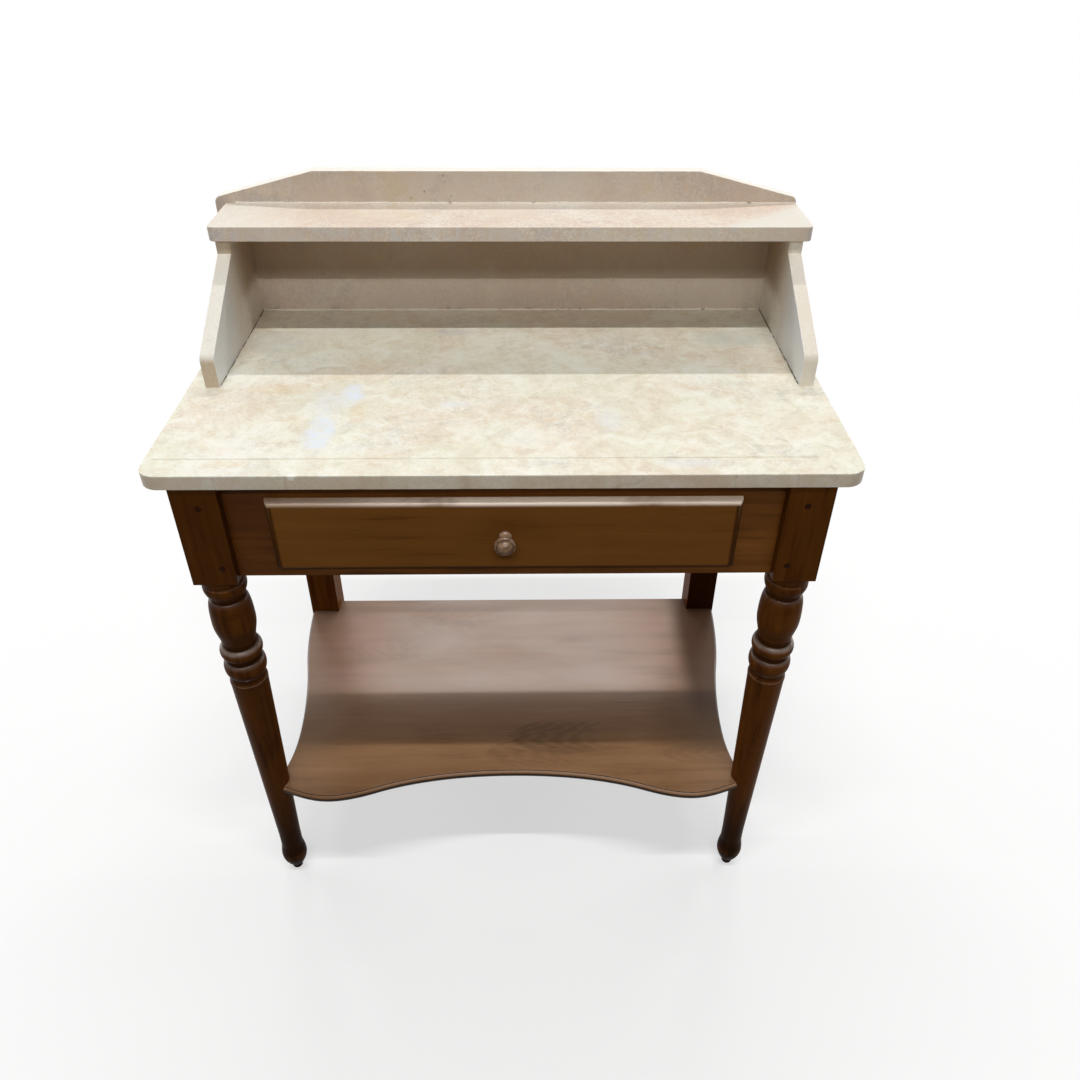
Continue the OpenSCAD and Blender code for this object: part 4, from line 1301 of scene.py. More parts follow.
@dataclass
class MarbleTop:
    """The slab and the gallery that stands on it."""

    width: float = 850.0
    front: float = -236.5
    back: float = 263.5
    slab_low: float = 779.0
    slab_thickness: float = 19.0
    corner: float = 24.0
    line_inset: float = 37.6
    line_depth: float = 0.55
    line_half: float = 0.6
    line_ends: Point = (-416.6, 372.4)
    line_end: float = 8.0
    line_step: float = 42.0
    line_seed: int = 7
    chip_x: float = -243.9
    chip_reach: float = 5.0
    chip_pull: Spot = (0, 1.4, -1.6)
    cheek_thickness: float = 19.0
    cheek_inner: float = 389.0
    cheek_shift: float = 6.0
    cheek_nose: float = -17.5
    cheek_height: float = 144.0
    nose_height: float = 42.0
    nose_radius: float = 14.0
    step_y: float = 138.5
    step_height: float = 18.0
    panel_y: float = 243.5
    panel_height: float = 209.0
    clip: Point = (146.0, 37.0)
    clip_radius: float = 10.0
    upper_y: float = 134.5
    upper_thickness: float = 20.0
    upper_half: float = 417.5
    upper_shift: float = 7.5
    upper_corner: float = 9.0

    @property
    def slab_high(self) -> float:
        """The height of the slab's upper face."""
        return self.slab_low + self.slab_thickness

    @staticmethod
    def plate(low: Point, high: Point, radius: float, steps: int = 8) -> list[Point]:
        """A rectangle whose two front corners are rounded."""
        corners = [low, (high[0], low[1]), high, (low[0], high[1])]
        return rounded(corners, [radius, radius, 0, 0], steps)

    def slab(self) -> None:
        """The slab, with its chip and its scribed line."""
        half = self.width / 2
        outline = self.plate((-half, self.front), (half, self.back), self.corner, 12)
        stone = Stone(
            "marble_slab", "slab_stone", SLAB_STONE, self.slab_thickness, arris=0.9, step=7.0
        )
        mesh = stone.cut(outline, lambda x, y, h: Vector((x, y, self.slab_low + h)))
        self.knock(mesh)
        self.scribe(mesh)
        stone.lay(mesh)

    def knock(self, mesh: Mesh) -> None:
        """Takes the small chip out of the front arris.

        Args:
            mesh: The slab's mesh.
        """
        spot = Vector((self.chip_x, self.front, self.slab_high)) * MM
        reach = self.chip_reach * MM
        for vertex in mesh.bm.verts:
            away = (vertex.co - spot).length
            if away < reach:
                vertex.co += Vector(self.chip_pull) * MM * (1 - away / reach)

    def scribe(self, mesh: Mesh) -> None:
        """Sinks the scribed line into the upper face.

        Args:
            mesh: The slab's mesh.
        """
        middle = self.front + self.line_inset
        low, high = self.line_ends
        floor = (self.slab_high - 2.1) * MM
        first = low + self.line_end
        stops = [low, *[first + self.line_step * k for k in range(18)], high - self.line_end, high]
        ways = [middle + side * self.line_half for side in (-1, 0, 1)]
        cuts = [((0, y * MM, 0), (0, 1, 0)) for y in ways]
        cuts += [((x * MM, 0, 0), (1, 0, 0)) for x in stops]
        for spot, across in cuts:
            top = [f for f in mesh.bm.faces if f.calc_center_median().z > floor]
            rims = [part for f in top for part in (*f.edges, *f.verts)]
            mesh.cut(list(dict.fromkeys([*top, *rims])), spot, across)
        chance = random.Random(self.line_seed)
        for vertex in mesh.bm.verts:
            x, y, z = vertex.co / MM
            if abs(y - middle) < 0.05 and low + 1 < x < high - 1 and z > self.slab_high - 0.05:
                vertex.co.z -= self.line_depth * MM * chance.uniform(0.75, 1.0)

    def cheeks(self) -> None:
        """The two upright cheeks."""
        low, high = self.slab_high, self.slab_high + self.cheek_height
        nose, back = self.cheek_nose, self.panel_y
        corners = [(nose, low), (back, low), (back, high), (self.step_y, high)]
        corners += [(self.step_y, high - self.step_height), (nose, low + self.nose_height)]
        outline = rounded(corners, [0, 0, 0, 0, 0, self.nose_radius])
        for side, word in ((-1, "left"), (1, "right")):
            start = self.cheek_shift + side * self.cheek_inner
            start -= self.cheek_thickness if side < 0 else 0.0
            stone = Stone(
                f"cheek_{word}", f"cheek_{word}_stone", CHEEK_STONE, self.cheek_thickness,
                seed=side * 90,
            )
            stone.lay(stone.cut(outline, lambda y, z, h, x=start: Vector((x + h, y, z))))

    def back_panel(self) -> None:
        """The back panel with its sloping corners."""
        half, top = self.width / 2, self.panel_height
        end, slope = top - self.clip[1], half - self.clip[0]
        corners = [(-half, 0), (half, 0), (half, end), (slope, top), (-slope, top), (-half, end)]
        outline = rounded(corners, [0, 0, self.clip_radius, 0, 0, self.clip_radius])
        stone = Stone(
            "back_panel", "back_stone", BACK_STONE, self.back - self.panel_y, step=9.0, seed=33
        )
        stone.lay(stone.cut(
            outline, lambda x, z, h: Vector((x, self.back - h, self.slab_high + z))
        ))

    def upper_shelf(self) -> None:
        """The narrow shelf on the cheeks."""
        low, high = self.upper_shift - self.upper_half, self.upper_shift + self.upper_half
        outline = self.plate((low, self.upper_y), (high, self.panel_y), self.upper_corner)
        stone = Stone("upper_shelf", "upper_stone", UPPER_STONE, self.upper_thickness, seed=61)
        floor = self.slab_high + self.cheek_height
        stone.lay(stone.cut(outline, lambda x, y, h: Vector((x, y, floor + h))))

    def build(self) -> None:
        """Builds every marble piece."""
        self.slab()
        self.back_panel()
        self.cheeks()
        self.upper_shelf()
        painted(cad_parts["marble_pins"], NAIL_IRON)


# ---------- Turned legs ----------


@dataclass
class TurnedLeg:
    """A front leg: a square block over a long turning."""

    name: str
    side: int
    axis: Point = (364.0, -206.5)
    block_half: float = 28.0
    block_low: float = 635.0
    block_high: float = 779.0
    collar: float = 28.4
    collar_length: float = 35.0
    neck: float = 22.5
    groove: float = 4.0
    vase: float = 28.5
    vase_length: float = 78.5
    ring: float = 28.6
    upper_ring: float = 20.0
    ring_groove: float = 7.0
    lower_ring: float = 25.5
    cove: float = 12.0
    bead: float = 26.1
    bead_height: float = 7.0
    shaft: float = 25.6
    ankle: float = 16.9
    ankle_high: float = 92.0
    ankle_length: float = 28.0
    foot: float = 19.9
    foot_high: float = 38.0
    toe: float = 8.0
    toe_high: float = 7.0

    @staticmethod
    def half_round(
        top: float, height: float, inner: float, outer: float, steps: int
    ) -> list[Point]:
        """A half-round member as (radius, height) points, downwards.

        Args:
            top: The height of its upper end.
            height: Its own height.
            inner: The radius at both ends.
            outer: The radius in the middle.
            steps: The number of pieces between its points.

        Returns:
            The points.
        """
        turns = [math.pi * k / steps for k in range(steps + 1)]
        return [
            (inner + (outer - inner) * math.sin(a), top - height / 2 * (1 - math.cos(a)))
            for a in turns
        ]

    def head(self) -> list[Point]:
        """The collar and the vase, from inside the block down to the vase's lower end.

        Returns:
            Points of a radius and a height.
        """
        length, vase = self.collar_length, self.vase_length
        end = self.block_low - length
        fillet = self.block_low - length * 0.3
        sunk, swell = self.collar - self.neck, self.vase - self.neck
        rim = self.collar - sunk * 0.17
        throat = self.neck + sunk * 0.68
        vase_top = end - self.groove
        vase_end = vase_top - vase
        belly = (self.vase, vase_top - vase * 0.5)
        points = [(rim, self.block_low + 1), (rim, fillet + length * 0.06 + 0.4)]
        points += [(rim - 0.3, fillet + length * 0.06), (throat, fillet + length * 0.03)]
        points += [(throat, fillet - length * 0.03)]
        points += cubic(
            (self.collar - sunk * 0.1, fillet - length * 0.09),
            (self.collar + sunk * 0.03, fillet - length * 0.23),
            (self.collar + sunk * 0.07, end + length * 0.29), (self.neck, end), 14,
        )
        points += cubic(
            (self.neck, vase_top), (self.neck + swell * 0.67, vase_top - vase * 0.014),
            (belly[0], belly[1] + vase * 0.3), belly, 16,
        )
        return points + cubic(
            belly, (belly[0], belly[1] - vase * 0.22),
            (self.neck + swell * 0.17, vase_end + vase * 0.2), (self.neck, vase_end), 16,
        )[1:]

    def rings(self, vase_end: float) -> list[Point]:
        """The two rings, the cove and the bead, below the vase's lower end.

        Args:
            vase_end: The height of the vase's lower end.

        Returns:
            Points of a radius and a height.
        """
        ring_top = vase_end - self.groove
        low_ring = ring_top - self.upper_ring - self.ring_groove
        cove_top = low_ring - self.lower_ring
        bead_top = cove_top - self.cove
        swell = self.shaft - self.neck
        hollow = self.neck + swell * 0.5
        bead_in = self.shaft - (self.bead - self.shaft) * 0.33
        inner = self.neck + (self.ring - self.neck) * 0.16
        points = self.half_round(ring_top, self.upper_ring, self.neck, self.ring, 20)
        points += self.half_round(low_ring, self.lower_ring, inner, self.ring, 20)
        points += cubic(
            (self.neck + swell * 0.8, cove_top - 0.2), (hollow, cove_top - self.cove * 0.4),
            (hollow, cove_top - self.cove * 0.6), (bead_in, bead_top), 8,
        )
        return points + self.half_round(
            bead_top - 0.1, self.bead_height - 0.2, bead_in, self.bead, 10
        )

    def tail(self, shaft_top: float) -> list[Point]:
        """The shaft, the ankle, the foot and the toe, down to the floor.

        Args:
            shaft_top: The height of the shaft's upper end.

        Returns:
            Points of a radius and a height.
        """
        count, high, fall = 14, self.ankle_high, self.ankle_high - shaft_top
        thinner, fuller = self.ankle - self.shaft, self.foot - self.ankle
        over = high - self.ankle_length - self.foot_high
        under = self.foot_high - self.toe_high
        ball = (self.foot, self.foot_high)
        shares = [k / count for k in range(count + 1)]
        points = [(self.shaft + thinner * t, shaft_top - 0.4 + fall * t) for t in shares]
        points += cubic(
            (self.ankle, high - self.ankle_length),
            (self.ankle + fuller * 0.44, self.foot_high + over * 0.62),
            (ball[0], ball[1] + over * 0.31), ball, 10,
        )
        points += cubic(
            ball, (ball[0], ball[1] - under * 0.39),
            (self.toe + (self.foot - self.toe) * 0.4, self.toe_high + under * 0.23),
            (self.toe * 1.1, self.toe_high), 12,
        )[1:]
        return points + [(self.toe, self.toe_high * 0.86), (self.toe, 0.4), (self.toe - 0.5, 0.0)]

    def profile(self) -> list[Point]:
        """The turning as (radius, height) points, from inside the block to the floor.

        Returns:
            The points, downwards.
        """
        vase_end = self.block_low - self.collar_length - self.groove - self.vase_length
        members = self.groove + self.upper_ring + self.ring_groove + self.lower_ring
        shaft_top = vase_end - members - self.cove - self.bead_height
        return self.head() + self.rings(vase_end) + self.tail(shaft_top)

    @staticmethod
    def marks(profile: Sequence[Point]) -> list[dict[str, float]]:
        """How far each point lies in a hollow, and how far it stands out, from 0 to 1.

        Args:
            profile: The points of the turning.

        Returns:
            The stored values of each point.
        """
        found = []
        for radius, height in profile:
            near = [r for r, h in profile if abs(h - height) < 11]
            room = [r for r, h in profile if abs(h - height) < 30]
            hollow = min(1.0, max(0.0, (max(near) - radius - 1.2) / 3.5))
            crown = 1.0 if radius > max(room) - 0.5 and max(room) - min(room) > 3 else 0.0
            found.append({"hollow": hollow, "crown": crown})
        return found

    def build(self) -> None:
        """Builds the leg: the block from its solid, the turning anew."""
        x, y = self.side * self.axis[0] * MM, self.axis[1] * MM
        mesh = Mesh()
        mesh.take(self.name)
        kit = [*mesh.bm.verts, *mesh.bm.edges, *mesh.bm.faces]
        mesh.cut(kit, (0, 0, (self.block_low - 0.1) * MM), (0, 0, -1), drop=True)
        reach = (self.block_half - 0.1) * MM
        low, high = (self.block_low + 0.1) * MM, (self.block_high - 0.1) * MM

        def outer(edge: bmesh.types.BMEdge) -> bool:
            """Whether an edge is one of the block's own."""
            return sharp(edge) and all(
                (abs(v.co.x - x) > reach) + (abs(v.co.y - y) > reach)
                + (v.co.z < low or v.co.z > high) > 1
                for v in edge.verts
            )

        mesh.soften(1.2 * MM, outer)
        profile = self.profile()
        mesh.revolve(
            profile, lambda a, d, h: Vector((x + a * MM, y + d * MM, h * MM)),
            self.marks(profile), 88,
        )
        settle(mesh.finish(f"{self.name}_turned"), LEG_WOOD, Body.TABLE, Slot.WALNUT, self.name)


# ---------- Flat wooden pieces ----------


@dataclass(frozen=True)
class Board:
    """A wooden piece that keeps its solid's shape, with its arrises taken off."""

    node: str
    finish: Finish
    arris: float = 0.7
    body: Body = Body.TABLE
    slot: Slot = Slot.WALNUT

    def build(self) -> None:
        """Builds the softened copy."""
        mesh = Mesh()
        mesh.take(self.node)
        mesh.soften(self.arris * MM, sharp)
        piece = mesh.finish(f"{self.node}_board", outward=False)
        settle(piece, self.finish, self.body, self.slot, self.node)


BOARDS = [
    Board("leg_rear_left", REAR_WOOD, 1.2),
    Board("leg_rear_right", SHADED_REAR_LEG_WOOD, 1.2),
    Board("front_rail_top", RAIL_WOOD, 0.5),
    Board("front_rail_bottom", RAIL_WOOD, 0.8),
    Board("front_stile_left", STILE_WOOD, 0.2),
    Board("front_stile_right", STILE_WOOD_RIGHT, 0.2),
    Board("side_apron_left", SIDE_WOOD),
    Board("side_apron_right", SIDE_WOOD),
    Board("rear_apron", APRON_WOOD),
    *[
        Board(f"{kind}_{side}", BOX_WOOD[Axis.Y], 0.5, Body.TABLE, Slot.RAW_WOOD)
        for kind in ("runner", "guide", "kicker")
        for side in ("left", "right")
    ],
    *[
        Board(f"drawer_{part}", BOX_WOOD[grain], 0.3, Body.DRAWER, Slot.RAW_WOOD)
        for part, grain in (
            ("side_left", Axis.Y), ("side_right", Axis.Y), ("back", Axis.X), ("bottom", Axis.X),
        )
    ],
    Board("drawer_front", DRAWER_WOOD, 0.25, Body.DRAWER, Slot.DRAWER_WOOD),
]


# ---------- Lower shelf ----------


@dataclass
class LowerShelf:
    """The shelf between the legs, with a hollowed outline and a moulded edge."""

    low: float = 206.0
    thickness: float = 15.0
    leg: Point = (364.0, -206.5)
    leg_radius: float = 19.35
    rear_leg_out: float = 380.0
    rear_leg_in: float = 330.0
    rear_leg_front: float = 188.5
    rear_depth: float = 29.0
    waist: float = 33.0
    waist_back: float = 97.0
    turn_back: float = 249.0
    bow: float = 46.0
    lobe: float = 15.0
    lobe_in: float = 84.0
    swing_in: float = 160.0
    step_width: float = 3.5
    step_depth: float = 1.5
    gap: float = 0.3

    def side_edge(self) -> list[Point]:
        """The moulded edge on the right, from the rear leg to the front one.

        Returns:
            The points of the line.
        """
        leg = (self.leg[0] - self.leg_radius * 0.3, self.leg[1])
        rear = (self.rear_leg_out, self.rear_leg_front - self.gap)
        waist = (rear[0] - self.waist, leg[1] + self.waist_back)
        turn = ((rear[0] + waist[0]) / 2, leg[1] + self.turn_back)
        behind, hollow, front = rear[1] - turn[1], turn[1] - waist[1], waist[1] - leg[1]
        lean = (self.waist / 3, hollow / 3)
        points = cubic(
            rear, (rear[0] - self.waist * 0.06, rear[1] - behind * 0.3),
            (turn[0] + lean[0], turn[1] + lean[1]), turn, 12,
        )[:-1]
        points += cubic(
            turn, (turn[0] - lean[0], turn[1] - lean[1]), (waist[0], waist[1] + hollow * 0.28),
            waist, 14,
        )[:-1]
        return points + cubic(
            waist, (waist[0], waist[1] - front * 0.36),
            (leg[0] - self.waist * 0.24, leg[1] + front * 0.46),
            (leg[0], leg[1] + self.leg_radius * 0.7), 12,
        )

    def front_edge(self) -> list[Point]:
        """The moulded edge from the right front leg to the middle of the front.

        Returns:
            The points of the line.
        """
        r = self.leg_radius
        leg = (self.leg[0] - r * 0.3, self.leg[1])
        lobe = (self.leg[0] - self.lobe_in, leg[1] - r - self.lobe)
        swing = (self.leg[0] - self.swing_in, lobe[1] + self.bow * 0.36)
        bow = (0.0, lobe[1] + self.bow)
        third = (lobe[0] - swing[0]) / 3
        fall = ((swing[0] - lobe[0]) * 0.4, self.bow * 0.24)
        points = cubic(
            (leg[0], leg[1] - r * 0.67), (leg[0] - r * 1.24, leg[1] - r * 1.14),
            (lobe[0] + (self.leg[0] - lobe[0]) / 3, lobe[1]), lobe, 14,
        )[:-1]
        points += cubic(
            lobe, (lobe[0] - third, lobe[1]),
            (swing[0] - fall[0] * 0.8, swing[1] - fall[1] * 0.8), swing, 12,
        )[:-1]
        return points + cubic(
            swing, (swing[0] + fall[0] * 1.3, swing[1] + fall[1] * 1.3),
            (swing[0] * 0.47, bow[1]), bow, 18,
        )

    def outline(self, inset: float) -> list[Point]:
        """The whole outline, with its moulded edge drawn in by inset.

        Args:
            inset: How far the moulded edge is drawn in.

        Returns:
            The points, clockwise from the right-hand end of the rear edge.
        """
        line, moved = self.side_edge() + self.front_edge(), []
        for i, point in enumerate(line):
            ahead = Vector(line[min(i + 1, len(line) - 1)])
            along = (ahead - Vector(line[max(i - 1, 0)])).normalized()
            moved.append((point[0] + along.y * inset, point[1] - along.x * inset))
        mirrored = [(-x, y) for x, y in reversed(moved)][1:]
        side, rear = self.rear_leg_in - self.gap, self.rear_leg_front + self.rear_depth
        front = self.rear_leg_front - self.gap
        return [(side, rear), (side, front), *moved, *mirrored, (-side, front), (-side, rear)]

    def layers(self) -> list[Spot]:
        """Inset, height and hollow of each ring: a half-round nose and the step above it.

        Returns:
            The rings, upwards.
        """
        r, top, width = (self.thickness - self.step_depth) / 2, self.thickness, self.step_width
        shares = [-1 + 1.93 * k / 14 for k in range(15)]
        nose = [((r - math.sqrt(r * r * (1 - q * q))) * 0.8, r + r * q, 0.0) for q in shares]
        step = [(width, nose[-1][1], 0.9), (width, top - 0.4, 0.0)]
        step += [(width + more, top, 0.0) for more in (0.4, 1.6)]
        return [(nose[0][0] + 1.5, 0.0, 0.0), *nose, *step]

    def build(self) -> None:
        """Builds the shelf."""
        mesh, layers = Mesh(), self.layers()
        rings = [
            [Vector((x, y, self.low + height)) * MM for x, y in reversed(self.outline(inset))]
            for inset, height, _ in layers
        ]
        mesh.loft(rings, [{"hollow": hollow} for _, _, hollow in layers])
        piece = mesh.finish("lower_shelf_board")
        settle(piece, SHELF_WOOD, Body.TABLE, Slot.SHELF_WOOD, "lower_shelf")


# ---------- Knob ----------


@dataclass
class Knob:
    """The turned knob in the middle of the drawer."""

    face: float = -233.0
    height: float = 707.75
    collar: float = 8.5
    neck: float = 6.2
    head: float = 13.3
    reach: float = 30.5
    dish: float = 0.715

    def build(self) -> None:
        """Turns the knob, from points of a radius and a share of the reach."""
        collar, neck, head = self.collar, self.neck, self.head
        points = [(0.6, -0.02), (collar, -0.02), (collar, 0.035), (collar * 0.98, 0.045)]
        for curve in (
            ((collar * 0.93, 0.08), (neck * 1.06, 0.13), (neck * 0.94, 0.23), (neck, 0.38), 12),
            ((neck * 1.06, 0.44), (head * 0.78, 0.48), (head, 0.57), (head, 0.64), 12),
            ((head, 0.66), (head * 0.985, 0.72), (head * 0.91, 0.74), (head * 0.835, 0.74), 8),
        ):
            points += cubic(*curve)
        points += [(head * 0.79, self.dish)]
        points += cubic((head * 0.76, 0.74), (head * 0.7, 0.9), (head * 0.4, 1), (0.3, 1), 14)
        marks = [
            {"hollow": 0.8 if abs(share - self.dish) < 0.004 or share < 0.05 else 0.0}
            for _, share in points
        ]
        mesh = Mesh()
        mesh.revolve(
            [(r, share * self.reach) for r, share in points],
            lambda a, d, h: Vector((a * MM, (self.face - h) * MM, (self.height + d) * MM)),
            marks, 64,
        )
        piece = mesh.finish("drawer_knob_turned")
        settle(piece, KNOB_WOOD, Body.DRAWER, Slot.KNOB_WOOD, "drawer_knob")


# ---------- Small repeated pieces by Geometry Nodes ----------


class Recipe:
    """A Geometry Nodes tree with named inputs, run once on a guide mesh."""

    def __init__(self, name: str, inputs: dict[str, float]) -> None:
        """Starts the tree.

        Args:
            name: The name of the piece that it makes.
            inputs: The named numbers that it takes, with their values.
        """
        self.name = name
        self.tree = bpy.data.node_groups.new(f"{name}_recipe", "GeometryNodeTree")
        self.graph = Graph(self.tree)
        face = self.tree.interface
        for way in ("INPUT", "OUTPUT"):
            face.new_socket("Geometry", in_out=way, socket_type="NodeSocketGeometry")
        self.values = {}
        for label, value in inputs.items():
            kind = "NodeSocketInt" if isinstance(value, int) else "NodeSocketFloat"
            made = face.new_socket(label, in_out="INPUT", socket_type=kind)
            self.values[made.identifier] = value
        self.start = self.tree.nodes.new("NodeGroupInput")

    def input(self, name: str) -> Tap:
        """One of the tree's inputs."""
        return Tap(self.graph, self.graph.find(self.start.outputs, name))

    def run(self, result: Tap, finish: Finish, guide: bpy.types.Object) -> bpy.types.Object:
        """Ends the tree and turns its result into a plain mesh.

        Args:
            result: The instances or the mesh that the tree makes.
            finish: Their finish.
            guide: The object that the tree works on. It is removed.

        Returns:
            The new piece.
        """
        real = self.graph.node("GeometryNodeRealizeInstances", {}, {0: result})
        sockets = {"Geometry": real, "Material": finish.material()}
        dressed = self.graph.node("GeometryNodeSetMaterial", {}, sockets)
        self.graph.close("NodeGroupOutput", dressed)
        modifier = guide.modifiers.new(self.name, "NODES")
        modifier.node_group = self.tree
        for key, value in self.values.items():
            modifier[key] = value
        bpy.context.view_layer.update()
        seen = guide.evaluated_get(bpy.context.evaluated_depsgraph_get())
        data = bpy.data.meshes.new_from_object(seen)
        data.name = self.name
        made = linked(self.name, data)
        bpy.data.objects.remove(guide)
        return made


@dataclass
class Studs:
    """Round pieces with a domed head, driven in at given places."""

    name: str
    spots: list[tuple[Vector, Vector]]
    radius: float
    length: float
    proud: float
    finish: Finish
    seed: int = 3

    def guide(self) -> bpy.types.Object:
        """An object of loose points, each with the direction that its head looks in.

        Returns:
            The object.
        """
        data = bpy.data.meshes.new(self.name)
        data.from_pydata([spot for spot, _ in self.spots], [], [])
        stored = data.attributes.new("direction", "FLOAT_VECTOR", "POINT")
        for i, (_, direction) in enumerate(self.spots):
            stored.data[i].vector = direction
        return linked(self.name, data)

    def make(self) -> bpy.types.Object:
        """Drives them in: each head looks along its direction.

        Returns:
            The new piece.
        """
        sizes = {"Radius": self.radius, "Length": self.length, "Proud": self.proud}
        values = {label: size * MM for label, size in sizes.items()}
        recipe = Recipe(self.name, {**values, "Seed": self.seed})
        graph = recipe.graph
        radius, length, proud = (recipe.input(label) for label in sizes)
        stud = graph.node(
            "GeometryNodeMeshCylinder",
            {"fill_type": "TRIANGLE_FAN"},
            {
                "Vertices": 20, "Side Segments": 1, "Fill Segments": 4, "Radius": radius,
                "Depth": length,
            },
            "Mesh",
        )
        x, y, z = graph.parts(graph.node("GeometryNodeInputPosition"))
        dome = 1 - ((x**2.0 + y**2.0) / (radius * radius)).at_most(1.0)
        rise = dome * proud * z.between(0.0, 0.0001) - length * 0.5
        lift = graph.node("ShaderNodeCombineXYZ", {}, {"Z": rise})
        stud = graph.node("GeometryNodeSetPosition", {}, {"Geometry": stud, "Offset": lift})
        stud = graph.node(
            "GeometryNodeSetShadeSmooth", {}, {"Geometry": stud, "Shade Smooth": False}
        )
        aim = graph.node(
            "GeometryNodeInputNamedAttribute", {"data_type": "FLOAT_VECTOR"},
            {"Name": "direction"}, "Attribute",
        )
        turn = graph.node("FunctionNodeAlignRotationToVector", {"axis": "Z"}, {"Vector": aim})
        scale = graph.node(
            "FunctionNodeRandomValue", {"data_type": "FLOAT"},
            {"Min_001": 0.96, "Max_001": 1.0, "Seed": recipe.input("Seed")}, "Value_001",
        )
        sockets = {"Points": recipe.input("Geometry"), "Instance": stud, "Rotation": turn}
        placed = graph.node("GeometryNodeInstanceOnPoints", {}, {**sockets, "Scale": scale})
        return recipe.run(placed, self.finish, self.guide())


@dataclass
class Bead:
    """Thin, uneven lines of mortar along the joints, each from one point to another."""

    name: str
    runs: list[tuple[Spot, Spot]]
    finish: Mortar
    radius: float
    unevenness: float
    seed: int

    def guide(self) -> bpy.types.Object:
        """An object of loose edges, one for each line.

        Returns:
            The object.
        """
        data = bpy.data.meshes.new(self.name)
        points = [Vector(p) * MM for run in self.runs for p in run]
        data.from_pydata(points, [(2 * i, 2 * i + 1) for i in range(len(self.runs))], [])
        return linked(self.name, data)

    def make(self) -> bpy.types.Object:
        """Lays the mortar.

        Returns:
            The new piece.
        """
        values = {"Radius": self.radius * MM, "Unevenness": self.unevenness, "Step": 4 * MM}
        recipe = Recipe(self.name, {**values, "Seed": self.seed})
        graph = recipe.graph
        line = graph.node("GeometryNodeMeshToCurve", {}, {"Mesh": recipe.input("Geometry")})
        sockets = {"Curve": line, "Length": recipe.input("Step")}
        line = graph.node("GeometryNodeResampleCurve", {"mode": "LENGTH"}, sockets)
        lumps = graph.node(
            "ShaderNodeTexNoise", {"noise_dimensions": "4D"},
            {
                "Vector": graph.node("GeometryNodeInputPosition"),
                "W": recipe.input("Seed") * 1.7, "Scale": 85.0, "Detail": 3.0,
            },
        )
        swell = 1 + (lumps - 0.5) * 2 * recipe.input("Unevenness")
        size = recipe.input("Radius") * swell.at_least(0.15)
        ring = graph.node("GeometryNodeCurvePrimitiveCircle", {}, {"Resolution": 7, "Radius": 1.0})
        sockets = {"Curve": line, "Profile Curve": ring, "Fill Caps": True, "Scale": size}
        tube = graph.node("GeometryNodeCurveToMesh", {}, sockets)
        return recipe.run(tube, self.finish, self.guide())


@dataclass
class Fixings:
    """Pegs, dowels, nails and the mortar between the marble pieces."""

    block_out: float = 392.0
    block_front: float = -234.5
    rear_out: float = 380.0
    rear_middle: float = 341.0
    rear_back: float = 238.5
    side_pegs: Point = (-190.0, 200.0)
    pegs: tuple[Point, Point] = ((350.85, 661.0), (361.08, 751.0))
    peg_radius: float = 4.0
    peg_length: float = 25.0
    nail_radius: float = 1.6
    nails: int = 3
    back_joint: float = 243.0
    back_lines: tuple[Spot, Spot] = ((961.9, -395.0, 423.0), (798.2, -382.5, 394.5))
    cheek_joint: float = 798.1
    cheek_lines: Blotch = (-402.2, -382.8, 394.8, 414.2)

    def peg_spots(self) -> list[tuple[Vector, Vector]]:
        """Where the pegs show, and the way that each end looks.

        Returns:
            The places, in metres, each with its direction.
        """
        spots = []
        for side in (-1, 1):
            for across, z in self.pegs:
                ahead, out, behind = Vector((0, -1, 0)), Vector((side, 0, 0)), Vector((0, 1, 0))
                spots.append((Vector((side * across, self.block_front, z)), ahead))
                spots.append((Vector((side * self.block_out, self.side_pegs[0], z)), out))
                spots.append((Vector((side * self.rear_out, self.side_pegs[1], z)), out))
                spots.append((Vector((side * self.rear_middle, self.rear_back, z)), behind))
        return [(spot * MM, way) for spot, way in spots]

    def nail_heads(self) -> Studs:
        """The nails under the drawer's back, spread over the box of their node.

        Returns:
            The studs.
        """
        low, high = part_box("drawer_nails")
        first, middle = low.x + 0.9 * MM, (low.y + high.y) / 2
        span = high.x - low.x - 1.8 * MM
        across = [first + span * k / (self.nails - 1) for k in range(self.nails)]
        spots = [(Vector((x, middle, low.z)), Vector((0, 0, -1))) for x in across]
        length = (high.z - low.z) / MM
        return Studs("drawer_nails_heads", spots, self.nail_radius, length, 0.4, NAIL_IRON)

    def build(self) -> None:
        """Builds them all."""
        pegs = Studs(
            "apron_pegs_ends", self.peg_spots(), self.peg_radius, self.peg_length, 0.5, PEG_END
        )
        settle(pegs.make(), PEG_END, Body.TABLE, Slot.PEG_WOOD, "apron_pegs")
        painted(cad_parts["shelf_dowels"], PEG_END)
        settle(self.nail_heads().make(), NAIL_IRON, Body.DRAWER, Slot.IRON, "drawer_nails")
        y, z = self.back_joint, self.cheek_joint
        back = [((left, y, high), (right, y, high)) for high, left, right in self.back_lines]
        cheeks = [((x, -12, z), (x, 242, z)) for x in self.cheek_lines]
        for bead in (
            Bead("back_mortar_lines", back, PALE_MORTAR, 1.7, 0.9, 5),
            Bead("cheek_mortar_lines", cheeks, DARK_MORTAR, 0.7, 1.6, 11),
        ):
            settle(bead.make(), bead.finish, Body.TABLE, Slot.MARBLE)


# ---------- Studio ----------


@dataclass(frozen=True)
class Lamp:
    """A long lamp under the ceiling."""

    name: str
    y: float
    power: float
    length: float = 3.2
    width: float = 0.08
    height: float = 4.4

    def hang(self) -> None:
        """Hangs the lamp."""
        data = bpy.data.lights.new(self.name, "AREA")
        data.shape, data.energy = "RECTANGLE", self.power
        data.size, data.size_y = self.length, self.width
        data.color = (1.0, 0.995, 0.985)
        linked(self.name, data).location = (0.0, self.y, self.height)


